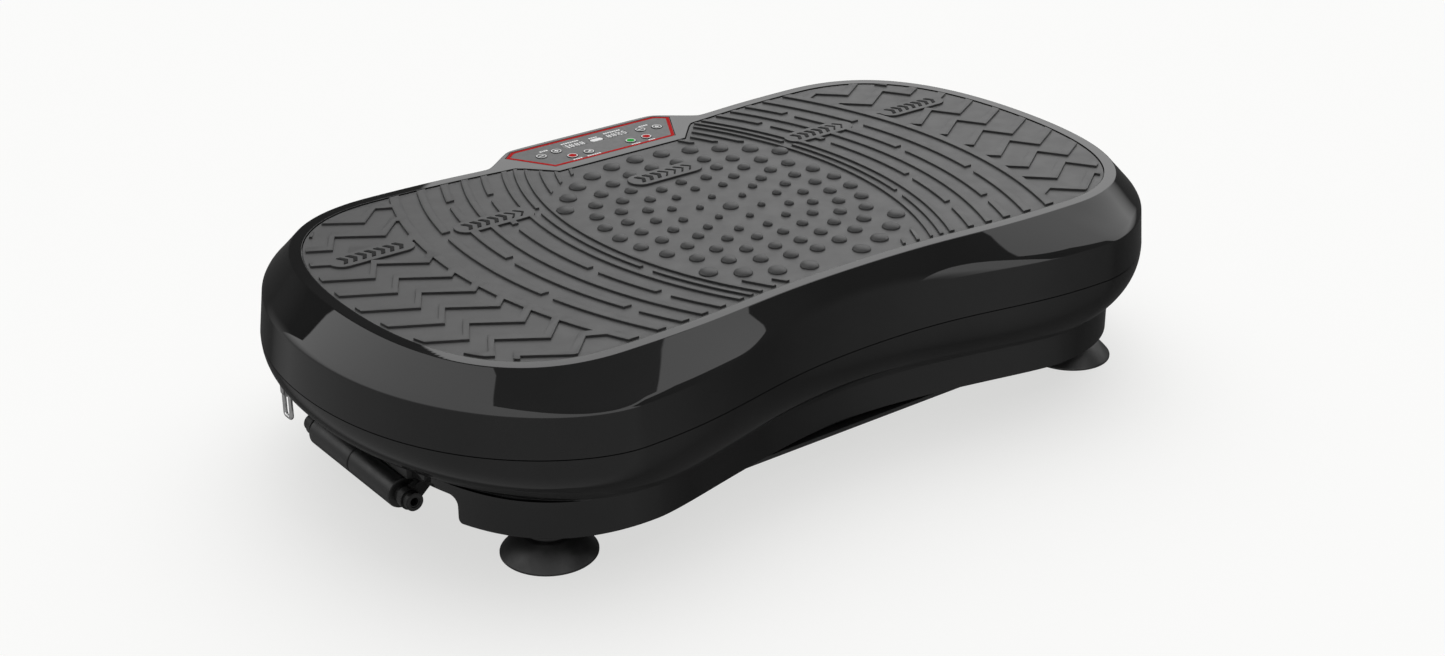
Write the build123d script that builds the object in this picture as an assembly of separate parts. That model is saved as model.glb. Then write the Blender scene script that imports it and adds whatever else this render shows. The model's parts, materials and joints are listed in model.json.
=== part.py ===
from build123d import *
import math
import os

# Vibration plate, millimetres. X runs along the length with the transport roller at -X,
# +Y is the control panel side, +Z is up and the feet stand on z = 0.

# ---------------------------------------------------------------- driving dimensions
SEAM_Z = 91.0             # joint line between the top and lower covers
RING_Z = 141.5            # flat ring around the mat
SHELL_FOOT_Z = 50.0       # where the curved lower cover meets its upright skirt
SKIRT_Z = 24.0            # bottom of the skirt
COVER_WALL = 3.0
MAT_FLOOR_Z = RING_Z - 0.8
MAT_THICKNESS = 3.0
RIB_HEIGHT = 1.6
DOT_HEIGHT = 2.0

# A plan outline is (half waist, lobe x, half width at the lobes, half length, four fullness shares).
SEAM = (166.6, 200.9, 189.9, 335.0, 0.48, 0.41, 0.36, 0.68)
SHOULDER = (159.4, 202.6, 188.0, 330.7, 0.48, 0.41, 0.36, 0.68)
RING = (148.5, 195.0, 159.0, 305.5, 0.50, 0.50, 0.64, 0.68)
MAT = (140.0, 195.0, 150.5, 297.0, 0.50, 0.50, 0.64, 0.68)
SHELL_FOOT = (145.0, 182.0, 173.0, 299.0, 0.43, 0.25, 0.60, 0.55)
SKIRT = (141.5, 180.9, 169.8, 295.3, 0.40, 0.16, 0.90, 0.43)
SHOULDER_Z = 118.8

# The panel pod is a trapezium: (half width at the back, back y, half width at the front, front y).
POD_RING = (67.0, 178.0, 106.0, 146.0)
POD_SHOULDER = (71.0, 186.0, 116.0, 146.0)
POD_SEAM = (72.0, 187.5, 118.0, 146.0)
POD_FOOT = (62.0, 150.0, 100.0, 120.0)
NOTCH = ((76.0, 139.0), (58.0, 119.5))     # corner points of the mat's notch around the panel

# Panel
PANEL_BACK = (66.0, 174.0)
PANEL_SIDE = (76.0, 165.5)
PANEL_FRONT = (55.0, 129.0)
PANEL_THICKNESS = 1.5
PANEL_Z = RING_Z - 0.2
PANEL_LOW_Z = PANEL_Z - PANEL_THICKNESS
BUTTON_RADIUS = 4.25
BUTTON_TRAVEL = 0.5
BUTTONS = {
    "button_time_down": (-52.0, 153.0),
    "button_time_up": (-37.0, 155.5),
    "button_power": (-32.6, 140.0),
    "button_program": (-17.8, 140.0),
    "button_start": (20.8, 140.0),
    "button_stop": (35.6, 140.0),
    "button_speed_down": (41.0, 155.5),
    "button_speed_up": (55.0, 153.0),
}
DISPLAYS = {"time_display": (-18.4, 159.0), "speed_display": (20.6, 159.0)}
DISPLAY_SIZE = (19.0, 8.0)
REMOTE_WINDOW = (1.5, 158.0)
REMOTE_SIZE = (11.0, 5.5)

# Mat pattern
DOT_CENTRE_Y = -12.0
DOT_RINGS = (                  # ring radius, number of dots, dot radius
    (22.0, 6, 2.9),
    (41.9, 12, 3.5),
    (58.9, 18, 4.3),
    (77.7, 24, 4.9),
    (95.8, 28, 5.4),
    (117.1, 32, 6.5),
)
CENTRE_DOT_RADIUS = 5.8
CLEAR_RADIUS = 131.0           # the short ribs stop at this circle around the dots
RIBS = (                       # inner and outer x at mid length, then the gaps as (low y, high y)
    (109.8, 112.2, ()),
    (117.7, 120.5, ((-72.0, -61.0), (57.0, 67.0))),
    (125.8, 129.7, ()),
    (141.2, 145.8, ((-111.0, -100.0), (-52.0, -42.0), (42.0, 52.0), (99.0, 110.0))),
    (156.0, 161.2, ()),
    (171.2, 177.0, ((-118.0, -107.0), (-6.0, 5.0), (105.0, 116.0))),
    (189.0, 195.2, ((-69.0, -58.0), (57.0, 68.0))),
    (209.0, 216.3, ()),
)
SHORT_RIBS = ((98.7, 101.1), (87.6, 90.0), (76.1, 78.5))
RIB_RADIUS_AT_112 = 290.0
RIB_RADIUS_GROWTH = 0.70
CHEVRON_PITCH = 29.3
CHEVRON_WIDTH = 6.8
CHEVRON_PATH = ((300.0, 21.6), (261.7, 0.0), (249.7, 20.0), (221.0, 0.5), (202.5, 19.0), (190.0, 12.5))
PILL_Y = 67.0
PILL_SIZE = (63.0, 20.0)
PILLS_X = (0.0, 147.0, 243.5)
PATTERN_MARGIN = 3.5

# Base
PLATE_LOW_Z = 19.0
PLATE_TOP_Z = 22.0
PLATE_HALF = (256.0, 146.0)
PLATE_CORNER = 30.0
PLATE_BAY = (236.0, 80.0)      # end cut-out: x of its edge, half width
FOOT_POS = (234.3, 126.4)
FOOT_RADIUS = 31.7
STUD_RADIUS = 4.0

# Drive
AXLE_Z = 66.0
PIVOT_RADIUS = 8.0
PIVOT_STAND_Y = (106.0, 120.0)
MOTOR_X = -120.0
MOTOR_RADIUS = 30.0
CRANK_X = 110.0
CRANK_RADIUS = 8.5
THROW = 2.0
ECCENTRIC_RADIUS = 15.0
ECCENTRIC_Y = (68.0, 82.0)
ROD_Y = (69.0, 81.0)
PIN_Z = 96.0
PIN_RADIUS = 4.5
PIN_CLEARANCE = 5.3            # open gap around the pin where the rod loop is opened
PULLEY_Y = (-36.0, -26.0)
MOTOR_PULLEY_RADIUS = 12.0
DRIVEN_PULLEY_RADIUS = 36.0
RUNNING = 0.05                 # radial clearance of every running fit

# Deck frame
RAIL_Y = 85.0
RAIL_WIDTH = 30.0
RAIL_LENGTH = 520.0
RAIL_TOP_Z = 134.7
RAIL_HEIGHT = 20.0
RAIL_LOW_Z = RAIL_TOP_Z - RAIL_HEIGHT

# Transport roller, band rings, inlet and switch
ROLLER_X = -297.0
ROLLER_Z = 31.0
ROLLER_RADIUS = 10.7
ROLLER_HALF = 54.0
ROLLER_AXLE_RADIUS = 4.0
BRACKET_TOP_Z = 48.0
BRACKET_LEAN = 14.5            # the top of each roller bracket sits this far in from the axle
RING_POS = (303.0, 92.0, 47.0)   # centre of the clip's tube, mirrored for the other end
RING_WIRE = 1.5
RING_HALF_WIDTH = 4.6
RING_DROP = 19.5
LUG_Z = 53.0                   # underside of the moulded lugs that carry the clips
SERVICE_Y = 149.0
INLET_X = 54.0
SWITCH_X = -54.0
SERVICE_Z = 37.0
ROCKER_PIVOT_Y = SERVICE_Y - 2.0
ROCKER_TIP = 7.0               # degrees either side of level
ROCKER_PIN_RADIUS = 1.2

LEFT_NOTCH_HALF = 98.0
LEFT_NOTCH_TOP_Z = 43.0
RIGHT_NOTCH = (72.0, 112.0)

SCREW_POS = ((272.0, 60.0), (196.0, 142.0), (74.0, 128.0))


# ---------------------------------------------------------------- helpers
def block(x0, x1, y0, y1, z0, z1):
    centre = Pos((x0 + x1) / 2, (y0 + y1) / 2, (z0 + z1) / 2)
    return centre * Box(x1 - x0, y1 - y0, z1 - z0)


def rod_z(radius, x, y, z0, z1):
    return Pos(x, y, (z0 + z1) / 2) * Cylinder(radius, z1 - z0)


def rod_y(radius, x, z, y0, y1):
    return Pos(x, (y0 + y1) / 2, z) * Rot(90, 0, 0) * Cylinder(radius, y1 - y0)


def mix(low, high, share):
    return tuple(p + (q - p) * share for p, q in zip(low, high))


def shrunk(outline, inset):
    waist, lobe_x, lobe, end = outline[:4]
    return (waist - inset, lobe_x, lobe - inset, end - inset) + tuple(outline[4:])


def plan_wire(outline, z):
    """Closed waisted outline made of eight cubic curves."""
    waist, lobe_x, lobe, end, a, b, c, d = outline
    side = [(0, waist), (a * lobe_x, waist), ((1 - b) * lobe_x, lobe), (lobe_x, lobe)]
    cap = [(lobe_x, lobe), (lobe_x + c * (end - lobe_x), lobe), (end, d * lobe), (end, 0)]
    edges = []
    for sx, sy, forward in ((1, 1, True), (1, -1, False), (-1, -1, True), (-1, 1, False)):
        for curve in ((side, cap) if forward else (cap, side)):
            points = curve if forward else curve[::-1]
            edges.append(Edge.make_bezier(*[(sx * x, sy * y, z) for x, y in points]))
    return Wire(edges)


def plan_loft(sections, ruled=True):
    return Solid.make_loft([plan_wire(outline, z) for outline, z in sections], ruled)


def trapezium(pod, z):
    back_half, back_y, front_half, front_y = pod
    corners = [
        (-back_half, back_y), (back_half, back_y), (front_half, front_y),
        (60, 60), (-60, 60), (-front_half, front_y),
    ]
    return Wire.make_polygon([(x, y, z) for x, y in corners], close=True)


def pod_loft(sections, ruled=True):
    return Solid.make_loft([trapezium(pod, z) for pod, z in sections], ruled)


def pod_shrunk(pod, inset):
    back_half, back_y, front_half, front_y = pod
    return (back_half - inset, back_y - inset, front_half - inset, front_y)


def at_height(low, low_z, high, high_z, z):
    return mix(low, high, (z - low_z) / (high_z - low_z))


def shell_share(z):
    """How far the lower cover has curved inwards at a height."""
    drop = (SEAM_Z - z) / (SEAM_Z - SHELL_FOOT_Z)
    return drop ** 2.3


def polygon_face(points):
    return Face(Wire.make_polygon([(x, y, 0) for x, y in points], close=True))


def slab(shape, low_z, high_z):
    """Upright prism of a plan shape between two heights."""
    return Pos(0, 0, low_z) * extrude(shape, amount=high_z - low_z, dir=(0, 0, 1))


def all_corners(x, y):
    return [(sx * x, sy * y) for sx in (1, -1) for sy in (1, -1)]


# ---------------------------------------------------------------- covers and mat
def mat_outline_face(inset=0.0):
    """Plan of the mat with the notch that clears the panel."""
    (top_half, top_y), (low_half, low_y) = NOTCH
    notch = polygon_face([
        (-top_half - inset - 14, top_y + 12),
        (-top_half - inset, top_y - inset),
        (-low_half - inset, low_y - inset),
        (low_half + inset, low_y - inset),
        (top_half + inset, top_y - inset),
        (top_half + inset + 14, top_y + 12),
    ])
    return Face(plan_wire(shrunk(MAT, inset), 0.0)) - notch


def cover_screw_bosses(z0, z1, radius):
    return [rod_z(radius, x, y, z0, z1) for px, py in SCREW_POS for x, y in all_corners(px, py)]


def panel_face(inset=0.0):
    (bx, by), (sx, sy), (fx, fy) = PANEL_BACK, PANEL_SIDE, PANEL_FRONT
    back = (bx - inset * 0.5, by - inset)
    shoulder = (sx - inset * 1.2, sy - inset * 0.1)
    front = (fx - inset * 0.6, fy + inset)
    half = [back, shoulder, front]
    return polygon_face(half + [(-x, y) for x, y in half[::-1]])


def top_cover():
    wall = plan_loft([(SEAM, SEAM_Z), (SHOULDER, SHOULDER_Z)])
    bevel = plan_loft([(SHOULDER, SHOULDER_Z), (RING, RING_Z)])
    pod = pod_loft([(POD_SEAM, SEAM_Z), (POD_SHOULDER, SHOULDER_Z)])
    pod_bevel = pod_loft([(POD_SHOULDER, SHOULDER_Z), (POD_RING, RING_Z)])
    body = (wall + bevel) + (pod + pod_bevel)

    roof_z = RAIL_TOP_Z
    roof = at_height(SHOULDER, SHOULDER_Z, RING, RING_Z, roof_z)
    pod_roof = at_height(POD_SHOULDER, SHOULDER_Z, POD_RING, RING_Z, roof_z)
    inset = COVER_WALL
    cavity = plan_loft([(shrunk(SEAM, inset), SEAM_Z - 1), (shrunk(SHOULDER, inset), SHOULDER_Z - 1)])
    cavity += plan_loft([(shrunk(SHOULDER, inset), SHOULDER_Z - 1), (shrunk(roof, inset + 1), roof_z)])
    pod_low = (pod_shrunk(POD_SEAM, inset), SEAM_Z - 1)
    pod_middle = (pod_shrunk(POD_SHOULDER, inset), SHOULDER_Z - 1)
    pod_top = (pod_shrunk(pod_roof, inset + 1), roof_z)
    cavity += pod_loft([pod_low, pod_middle])
    cavity += pod_loft([pod_middle, pod_top])
    body -= cavity

    body -= slab(mat_outline_face(), MAT_FLOOR_Z - MAT_THICKNESS, RING_Z + 1)
    body -= slab(panel_face(), PANEL_LOW_Z, RING_Z + 1)
    body -= [rod_z(BUTTON_RADIUS + 1.3, x, y, PANEL_LOW_Z - 1.3, RING_Z) for x, y in BUTTONS.values()]
    body += cover_screw_bosses(SEAM_Z, roof_z + 0.5, 5.0)
    body -= cover_screw_bosses(SEAM_Z - 1, SEAM_Z + 14, 1.8)
    return body


def service_boss(x, half, half_z):
    return block(x - half, x + half, 130, SERVICE_Y, SERVICE_Z - half_z, SERVICE_Z + half_z)


def lower_sections(inset):
    sections = []
    for step in range(6):
        z = SEAM_Z - (SEAM_Z - SHELL_FOOT_Z) * step / 5
        sections.append((shrunk(mix(SEAM, SHELL_FOOT, shell_share(z)), inset), z))
    return sections


def lower_cover():
    body = plan_loft(lower_sections(0.0), ruled=False)
    body += plan_loft([(SKIRT, SKIRT_Z), (SKIRT, SHELL_FOOT_Z)])
    pod_mid = mix(POD_SEAM, POD_FOOT, 0.30)
    body += pod_loft([(POD_SEAM, SEAM_Z), (pod_mid, 68.0), (POD_FOOT, SHELL_FOOT_Z)])
    solid = body

    body -= plan_loft(lower_sections(COVER_WALL), ruled=False)
    inner_skirt = shrunk(SKIRT, COVER_WALL)
    body -= plan_loft([(inner_skirt, SKIRT_Z - 1), (inner_skirt, SHELL_FOOT_Z + 4)])
    inset = COVER_WALL + 1
    body -= pod_loft([
        (pod_shrunk(POD_SEAM, inset), SEAM_Z),
        (pod_shrunk(pod_mid, inset), 68.0),
        (pod_shrunk(POD_FOOT, inset), SHELL_FOOT_Z + 2),
    ])

    # end openings in the skirt: the roller end, and the band ring of the other end
    body -= block(-320, -200, -LEFT_NOTCH_HALF, LEFT_NOTCH_HALF + 14, SKIRT_Z - 1, LEFT_NOTCH_TOP_Z)
    body -= block(200, 320, RIGHT_NOTCH[0], RIGHT_NOTCH[1], SKIRT_Z - 1, SHELL_FOOT_Z - 1)

    body += service_boss(INLET_X, 20, 11.5)
    body += service_boss(SWITCH_X, 16, 10)
    body -= block(INLET_X - 14, INLET_X + 14, 120, 160, SERVICE_Z - 10, SERVICE_Z + 10)
    body -= block(SWITCH_X - 10.5, SWITCH_X + 10.5, 120, 160, SERVICE_Z - 7, SERVICE_Z + 7)

    body += [web & solid for web in boss_webs()]
    for tube in cover_screw_bosses(SHELL_FOOT_Z + 6, SEAM_Z, 5.0):
        body += tube
    for side in (1, -1):
        body += carrier_lug(side * RING_POS[0], RING_POS[1], 5.0, 4.5, LUG_Z)
        body += bracket_lug(side * 62) & solid
    body += roller_cradle()
    body -= cover_screw_bosses(SHELL_FOOT_Z, SEAM_Z + 1, 2.0)
    body -= cover_screw_bosses(SHELL_FOOT_Z, SHELL_FOOT_Z + 10, 3.4)
    return body


def boss_webs():
    """Upright webs that tie each screw boss to the nearest wall."""
    low, high = SHELL_FOOT_Z + 8, SEAM_Z - 3
    webs = []
    for x, y in all_corners(*SCREW_POS[0]):
        webs.append(block(*sorted((x, x * 1.3)), y - 1.5, y + 1.5, low, high))
    for px, py in SCREW_POS[1:]:
        for x, y in all_corners(px, py):
            webs.append(block(x - 1.5, x + 1.5, *sorted((y, y * 1.5)), low, high))
    return webs


def carrier_lug(x, y, half_x, half_y, low_z):
    return block(x - half_x, x + half_x, y - half_y, y + half_y, low_z, 66)


def bracket_lug(y):
    """Block from the end wall inwards that a roller bracket hangs from."""
    return block(ROLLER_X - 10, ROLLER_X + BRACKET_LEAN + 5.5, y - 4, y + 4, BRACKET_TOP_Z, 66)


def roller_cradle():
    """Moulded hood that hugs the inner top side of the transport roller."""
    half = 40
    front, back = ROLLER_X + 2, ROLLER_X + 11
    hood = block(front, back, -half, half, ROLLER_Z + 7.5, SHELL_FOOT_Z + 8)
    return hood - rod_y(ROLLER_RADIUS + 0.6, ROLLER_X, ROLLER_Z, -half - 1, half + 1)


def rib_radius(middle):
    return RIB_RADIUS_AT_112 + RIB_RADIUS_GROWTH * (middle - 112.0)


def rib_face(inner, outer, low_y, high_y, side):
    """Slice of a flat ring between two heights: one raised rib seen from above."""
    middle = (inner + outer) / 2
    radius = rib_radius(middle)
    centre = middle - radius
    ring = Pos(centre, 0) * (Circle(radius + outer - middle) - Circle(radius + inner - middle))
    window = Pos(150, (low_y + high_y) / 2) * Rectangle(300, high_y - low_y)
    return (ring & window) if side > 0 else mirror(ring & window, Plane.YZ)


def rib_spans(gaps, end=170.0):
    spans = []
    low = -end
    for gap_low, gap_high in gaps:
        spans.append((low, gap_low))
        low = gap_high
    spans.append((low, end))
    return spans


def chevron_face(row, side):
    """One zigzag bar of even upright thickness that ends at the last curved rib."""
    rise = CHEVRON_WIDTH * 1.15
    lower = [(side * x, y + row * CHEVRON_PITCH) for x, y in CHEVRON_PATH]
    upper = [(x, y + rise) for x, y in lower[::-1]]
    inner, outer, _ = RIBS[-1]
    middle = (inner + outer) / 2
    radius = rib_radius(middle)
    return polygon_face(lower + upper) - Pos(side * (middle - radius), 0) * Circle(radius)


def pill_face(x, grow=0.0):
    width, height = PILL_SIZE
    return Pos(x, PILL_Y) * RectangleRounded(width + 2 * grow, height + 2 * grow, height / 2 + grow - 0.01)


def pill_positions():
    return [PILLS_X[0]] + [s * x for x in PILLS_X[1:] for s in (-1, 1)]


def rib_pattern():
    """All ribs, chevrons and name tags as one flat shape inside the mat's margin."""
    pattern = Sketch()
    for side in (1, -1):
        for inner, outer, gaps in RIBS:
            for low, high in rib_spans(gaps):
                pattern += rib_face(inner, outer, low, high, side)
        for row in range(-6, 7):
            pattern += chevron_face(row, side)
        for inner, outer in SHORT_RIBS:
            pattern += rib_face(inner, outer, -170, 170, side) - Pos(0, DOT_CENTRE_Y) * Circle(CLEAR_RADIUS)
    for x in pill_positions():
        pattern += pill_face(x)
    return pattern & mat_outline_face(PATTERN_MARGIN)


def dot_places():
    places = [(0.0, DOT_CENTRE_Y, CENTRE_DOT_RADIUS)]
    for ring, count, radius in DOT_RINGS:
        for step in range(count):
            angle = math.radians(-90 + 360 * step / count)
            places.append((ring * math.cos(angle), DOT_CENTRE_Y + ring * math.sin(angle), radius))
    return [place for place in places if dot_fits(*place)]


def dot_fits(x, y, radius):
    pill_half = PILL_SIZE[0] / 2
    on_pill = abs(x) < pill_half + radius * 0.4 and abs(y - PILL_Y) < PILL_SIZE[1] / 2 + radius * 0.4
    low, high = -MAT[0] + radius + 5, NOTCH[1][1] - radius - 4
    arc_radius = RIB_RADIUS_AT_112
    rib_x = RIBS[0][0] - arc_radius + math.sqrt(arc_radius ** 2 - y * y)
    return not on_pill and low < y < high and abs(x) + radius < rib_x - 1


def deck_mat():
    mat = slab(mat_outline_face(), MAT_FLOOR_Z - MAT_THICKNESS, MAT_FLOOR_Z)
    raised = [slab(face, MAT_FLOOR_Z - 0.5, MAT_FLOOR_Z + RIB_HEIGHT) for face in rib_pattern().faces()]
    domes = [
        Pos(x, y, MAT_FLOOR_Z + DOT_HEIGHT / 2 - 0.25) * Cone(radius, radius * 0.62, DOT_HEIGHT + 0.5)
        for x, y, radius in dot_places()
    ]
    return mat + raised + domes


# ---------------------------------------------------------------- panel
def panel_overlay():
    plate = slab(panel_face(), PANEL_LOW_Z, PANEL_Z)
    plate -= [rod_z(BUTTON_RADIUS + 0.1, x, y, 130, 150) for x, y in BUTTONS.values()]
    for x, y in DISPLAYS.values():
        plate -= Pos(x, y, 140) * Box(DISPLAY_SIZE[0], DISPLAY_SIZE[1], 20)
    plate -= Pos(REMOTE_WINDOW[0], REMOTE_WINDOW[1], 140) * Box(REMOTE_SIZE[0], REMOTE_SIZE[1], 20)
    return plate


def panel_window(x, y, width, depth):
    return block(x - width / 2, x + width / 2, y - depth / 2, y + depth / 2, PANEL_LOW_Z, PANEL_Z)


def panel_button(x, y):
    cap = rod_z(BUTTON_RADIUS, x, y, PANEL_LOW_Z - 0.6, PANEL_Z + 0.5)
    rim = rod_z(BUTTON_RADIUS + 1.0, x, y, PANEL_LOW_Z - 0.6, PANEL_LOW_Z)
    return cap + rim


def display_board():
    board = block(-70, 70, 132, 168, RAIL_TOP_Z - 1.6, RAIL_TOP_Z)
    plug = block(-12, 12, 140, 150, RAIL_TOP_Z - 9.6, RAIL_TOP_Z - 1.6)
    return board + plug


# ---------------------------------------------------------------- base
def base_plate():
    half_x, half_y = PLATE_HALF
    outline = RectangleRounded(2 * half_x, 2 * half_y, PLATE_CORNER)
    bay_x, bay_half = PLATE_BAY
    for side in (1, -1):
        outline -= Pos(side * (bay_x + 20), 0) * Rectangle(40, 2 * bay_half)
    for x, y in all_corners(*FOOT_POS):
        outline -= Pos(x, y) * Circle(STUD_RADIUS)
    plate = slab(outline, PLATE_LOW_Z, PLATE_TOP_Z)
    for side in (1, -1):
        for low, high in ((-210, -92), (92, 210)):
            plate += block(low, high, side * 132 - 2, side * 132 + 2, PLATE_TOP_Z, PLATE_TOP_Z + 8)
    return plate


def suction_foot(x, y):
    """Rubber cup: hollow cone below, two neck rings above, stud pocket on its axis."""
    profile = [
        (0, 8.0), (16.0, 7.0), (27.0, 1.6), (29.5, 0.0), (FOOT_RADIUS, 0.0), (FOOT_RADIUS, 1.6),
        (17.5, 14.5), (15.0, 15.2), (15.0, 16.0), (16.8, 16.6), (16.8, PLATE_LOW_Z), (0, PLATE_LOW_Z),
    ]
    half = polygon_face([(px, pz) for px, pz in profile])
    cup = revolve(Plane.XZ * half, Axis.Z)
    return Pos(x, y, 0) * (cup - rod_z(STUD_RADIUS, 0, 0, 11, 30))


def foot_stud(x, y):
    return rod_z(STUD_RADIUS, x, y, 11, PLATE_TOP_Z + 9)


def foot_nut(x, y):
    nut = slab(Pos(x, y) * RegularPolygon(7.5, 6), PLATE_TOP_Z, PLATE_TOP_Z + 6.5)
    return nut - rod_z(STUD_RADIUS, x, y, 0, 60)


def pivot_stand(side):
    low, high = PIVOT_STAND_Y
    y0, y1 = sorted((side * low, side * high))
    foot = block(-34, 34, y0 - 0, y1 + 0, PLATE_TOP_Z, PLATE_TOP_Z + 8)
    cheek = block(-20, 20, y0, y1, PLATE_TOP_Z + 8, AXLE_Z)
    stand = foot + cheek + rod_y(20, 0, AXLE_Z, y0, y1)
    stand -= rod_y(PIVOT_RADIUS, 0, AXLE_Z, y0 - 5, y1 + 5)
    return stand - [rod_z(2.6, x, side * 113, 0, 60) for x in (-28, 28)]


def screw(x, y, low, high, radius, head_radius, head_height):
    return rod_z(radius, x, y, low, high) + rod_z(head_radius, x, y, high, high + head_height)


def pivot_stand_screws():
    top = PLATE_TOP_Z + 8
    return [screw(x, y, PLATE_TOP_Z, top, 2.6, 4.5, 3.5) for x, y in all_corners(28, 113)]


def motor_body():
    can = rod_y(MOTOR_RADIUS, MOTOR_X, AXLE_Z, -14, 72)
    boss = rod_y(11, MOTOR_X, AXLE_Z, -20, -14)
    tail = rod_y(14, MOTOR_X, AXLE_Z, 72, 80)
    body = can + boss + tail
    return body - rod_y(5 + RUNNING, MOTOR_X, AXLE_Z, -30, 66)


def motor_bracket():
    face = block(MOTOR_X - 34, MOTOR_X + 34, -18, -14, PLATE_TOP_Z, AXLE_Z + 32)
    foot = block(MOTOR_X - 34, MOTOR_X + 34, -14, 40, PLATE_TOP_Z, PLATE_TOP_Z + 4)
    bracket = face + foot - rod_y(11, MOTOR_X, AXLE_Z, -30, 0)
    holes = [rod_y(2.1, MOTOR_X + dx, AXLE_Z + dz, -30, 0) for dx in (-18, 18) for dz in (-18, 18)]
    return bracket - holes


def motor_screws():
    shanks = []
    for dx in (-18, 18):
        for dz in (-18, 18):
            x, z = MOTOR_X + dx, AXLE_Z + dz
            shanks.append(rod_y(2.1, x, z, -18, -14) + rod_y(4, x, z, -21, -18))
    return shanks


def belt_wire(grow):
    """Closed path round both pulleys, grow millimetres outside their rims."""
    small, large = MOTOR_PULLEY_RADIUS + grow, DRIVEN_PULLEY_RADIUS + grow
    lean = math.asin((large - small) / (CRANK_X - MOTOR_X))
    touch = [(x - r * math.sin(lean), r * math.cos(lean)) for x, r in ((MOTOR_X, small), (CRANK_X, large))]
    (small_x, small_z), (large_x, large_z) = touch
    return Wire([
        Edge.make_line((small_x, small_z), (large_x, large_z)),
        Edge.make_three_point_arc((large_x, large_z), (CRANK_X + large, 0), (large_x, -large_z)),
        Edge.make_line((large_x, -large_z), (small_x, -small_z)),
        Edge.make_three_point_arc((small_x, -small_z), (MOTOR_X - small, 0), (small_x, small_z)),
    ])


def drive_belt():
    y0, y1 = PULLEY_Y[0] + 1, PULLEY_Y[1] - 1
    band = Face(belt_wire(2.5)) - Face(belt_wire(RUNNING))
    return Pos(0, y1, AXLE_Z) * Rot(90, 0, 0) * slab(band, 0, y1 - y0)


def crank_bearing(side):
    y0, y1 = sorted((side * 47, side * 63))
    foot = block(CRANK_X - 32, CRANK_X + 32, y0, y1, PLATE_TOP_Z, PLATE_TOP_Z + 8)
    cheek = block(CRANK_X - 18, CRANK_X + 18, y0, y1, PLATE_TOP_Z + 8, AXLE_Z)
    body = foot + cheek + rod_y(18, CRANK_X, AXLE_Z, y0, y1)
    body -= rod_y(CRANK_RADIUS + RUNNING, CRANK_X, AXLE_Z, y0 - 5, y1 + 5)
    return body - [rod_z(2.6, CRANK_X + dx, side * 55, 0, 60) for dx in (-26, 26)]


def crank_bearing_screws():
    top = PLATE_TOP_Z + 8
    return [screw(CRANK_X + dx, y, PLATE_TOP_Z, top, 2.6, 4.5, 3.5) for dx in (-26, 26) for y in (-55, 55)]


def driver_board():
    board = block(-222, -168, -48, 48, PLATE_TOP_Z + 8, PLATE_TOP_Z + 9.6)
    parts = [
        block(-216, -190, -40, -20, PLATE_TOP_Z + 9.6, PLATE_TOP_Z + 28),
        rod_z(11, -184, 10, PLATE_TOP_Z + 9.6, PLATE_TOP_Z + 36),
        block(-214, -206, 10, 40, PLATE_TOP_Z + 9.6, PLATE_TOP_Z + 32),
    ]
    return board + parts


def driver_standoffs():
    return [rod_z(3, x, y, PLATE_TOP_Z, PLATE_TOP_Z + 8) for x in (-218, -172) for y in (-44, 44)]


# ---------------------------------------------------------------- turning drive parts
def motor_pulley():
    y0, y1 = PULLEY_Y
    pulley = rod_y(MOTOR_PULLEY_RADIUS, MOTOR_X, AXLE_Z, y0, y1)
    return pulley - rod_y(5, MOTOR_X, AXLE_Z, y0 - 1, y1 + 1)


def driven_pulley():
    y0, y1 = PULLEY_Y
    pulley = rod_y(DRIVEN_PULLEY_RADIUS, CRANK_X, AXLE_Z, y0, y1)
    pulley -= rod_y(CRANK_RADIUS, CRANK_X, AXLE_Z, y0 - 1, y1 + 1)
    for step in range(6):
        angle = math.radians(60 * step)
        x, z = CRANK_X + 22 * math.cos(angle), AXLE_Z + 22 * math.sin(angle)
        pulley -= rod_y(6, x, z, y0 - 1, y1 + 1)
    return pulley


def eccentric_shaft():
    shaft = rod_y(CRANK_RADIUS, CRANK_X, AXLE_Z, -86, 86)
    for side in (1, -1):
        y0, y1 = sorted((side * ECCENTRIC_Y[0], side * ECCENTRIC_Y[1]))
        shaft += rod_y(ECCENTRIC_RADIUS, CRANK_X + THROW, AXLE_Z, y0, y1)
    return shaft


def connecting_rod(side):
    y0, y1 = sorted((side * ROD_Y[0], side * ROD_Y[1]))
    x = CRANK_X + THROW
    eye = PIN_RADIUS + PIN_CLEARANCE
    rod = rod_y(23, x, AXLE_Z, y0, y1) + rod_y(eye + 4, x, PIN_Z, y0, y1)
    rod += block(x - 9, x + 9, y0, y1, AXLE_Z, PIN_Z)
    rod -= rod_y(ECCENTRIC_RADIUS + RUNNING, x, AXLE_Z, y0 - 1, y1 + 1)
    return rod - rod_y(eye, x, PIN_Z, y0 - 1, y1 + 1)


# ---------------------------------------------------------------- deck frame
def rail(side):
    y0, y1 = side * RAIL_Y - RAIL_WIDTH / 2, side * RAIL_Y + RAIL_WIDTH / 2
    half = RAIL_LENGTH / 2
    tube = block(-half, half, y0, y1, RAIL_LOW_Z, RAIL_TOP_Z)
    return tube - block(-half, half, y0 + 2, y1 - 2, RAIL_LOW_Z + 2, RAIL_TOP_Z - 2)


def cross_member(x):
    inner = RAIL_Y - RAIL_WIDTH / 2
    tube = block(x - 12, x + 12, -inner, inner, RAIL_LOW_Z, RAIL_TOP_Z)
    return tube - block(x - 10, x + 10, -inner, inner, RAIL_LOW_Z + 2, RAIL_TOP_Z - 2)


def hub(side):
    y0, y1 = sorted((side * 78, side * 98))
    web = block(-18, 18, y0 + 6, y1 - 6, AXLE_Z, RAIL_LOW_Z)
    tube = rod_y(16, 0, AXLE_Z, y0, y1)
    return web + tube


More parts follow.
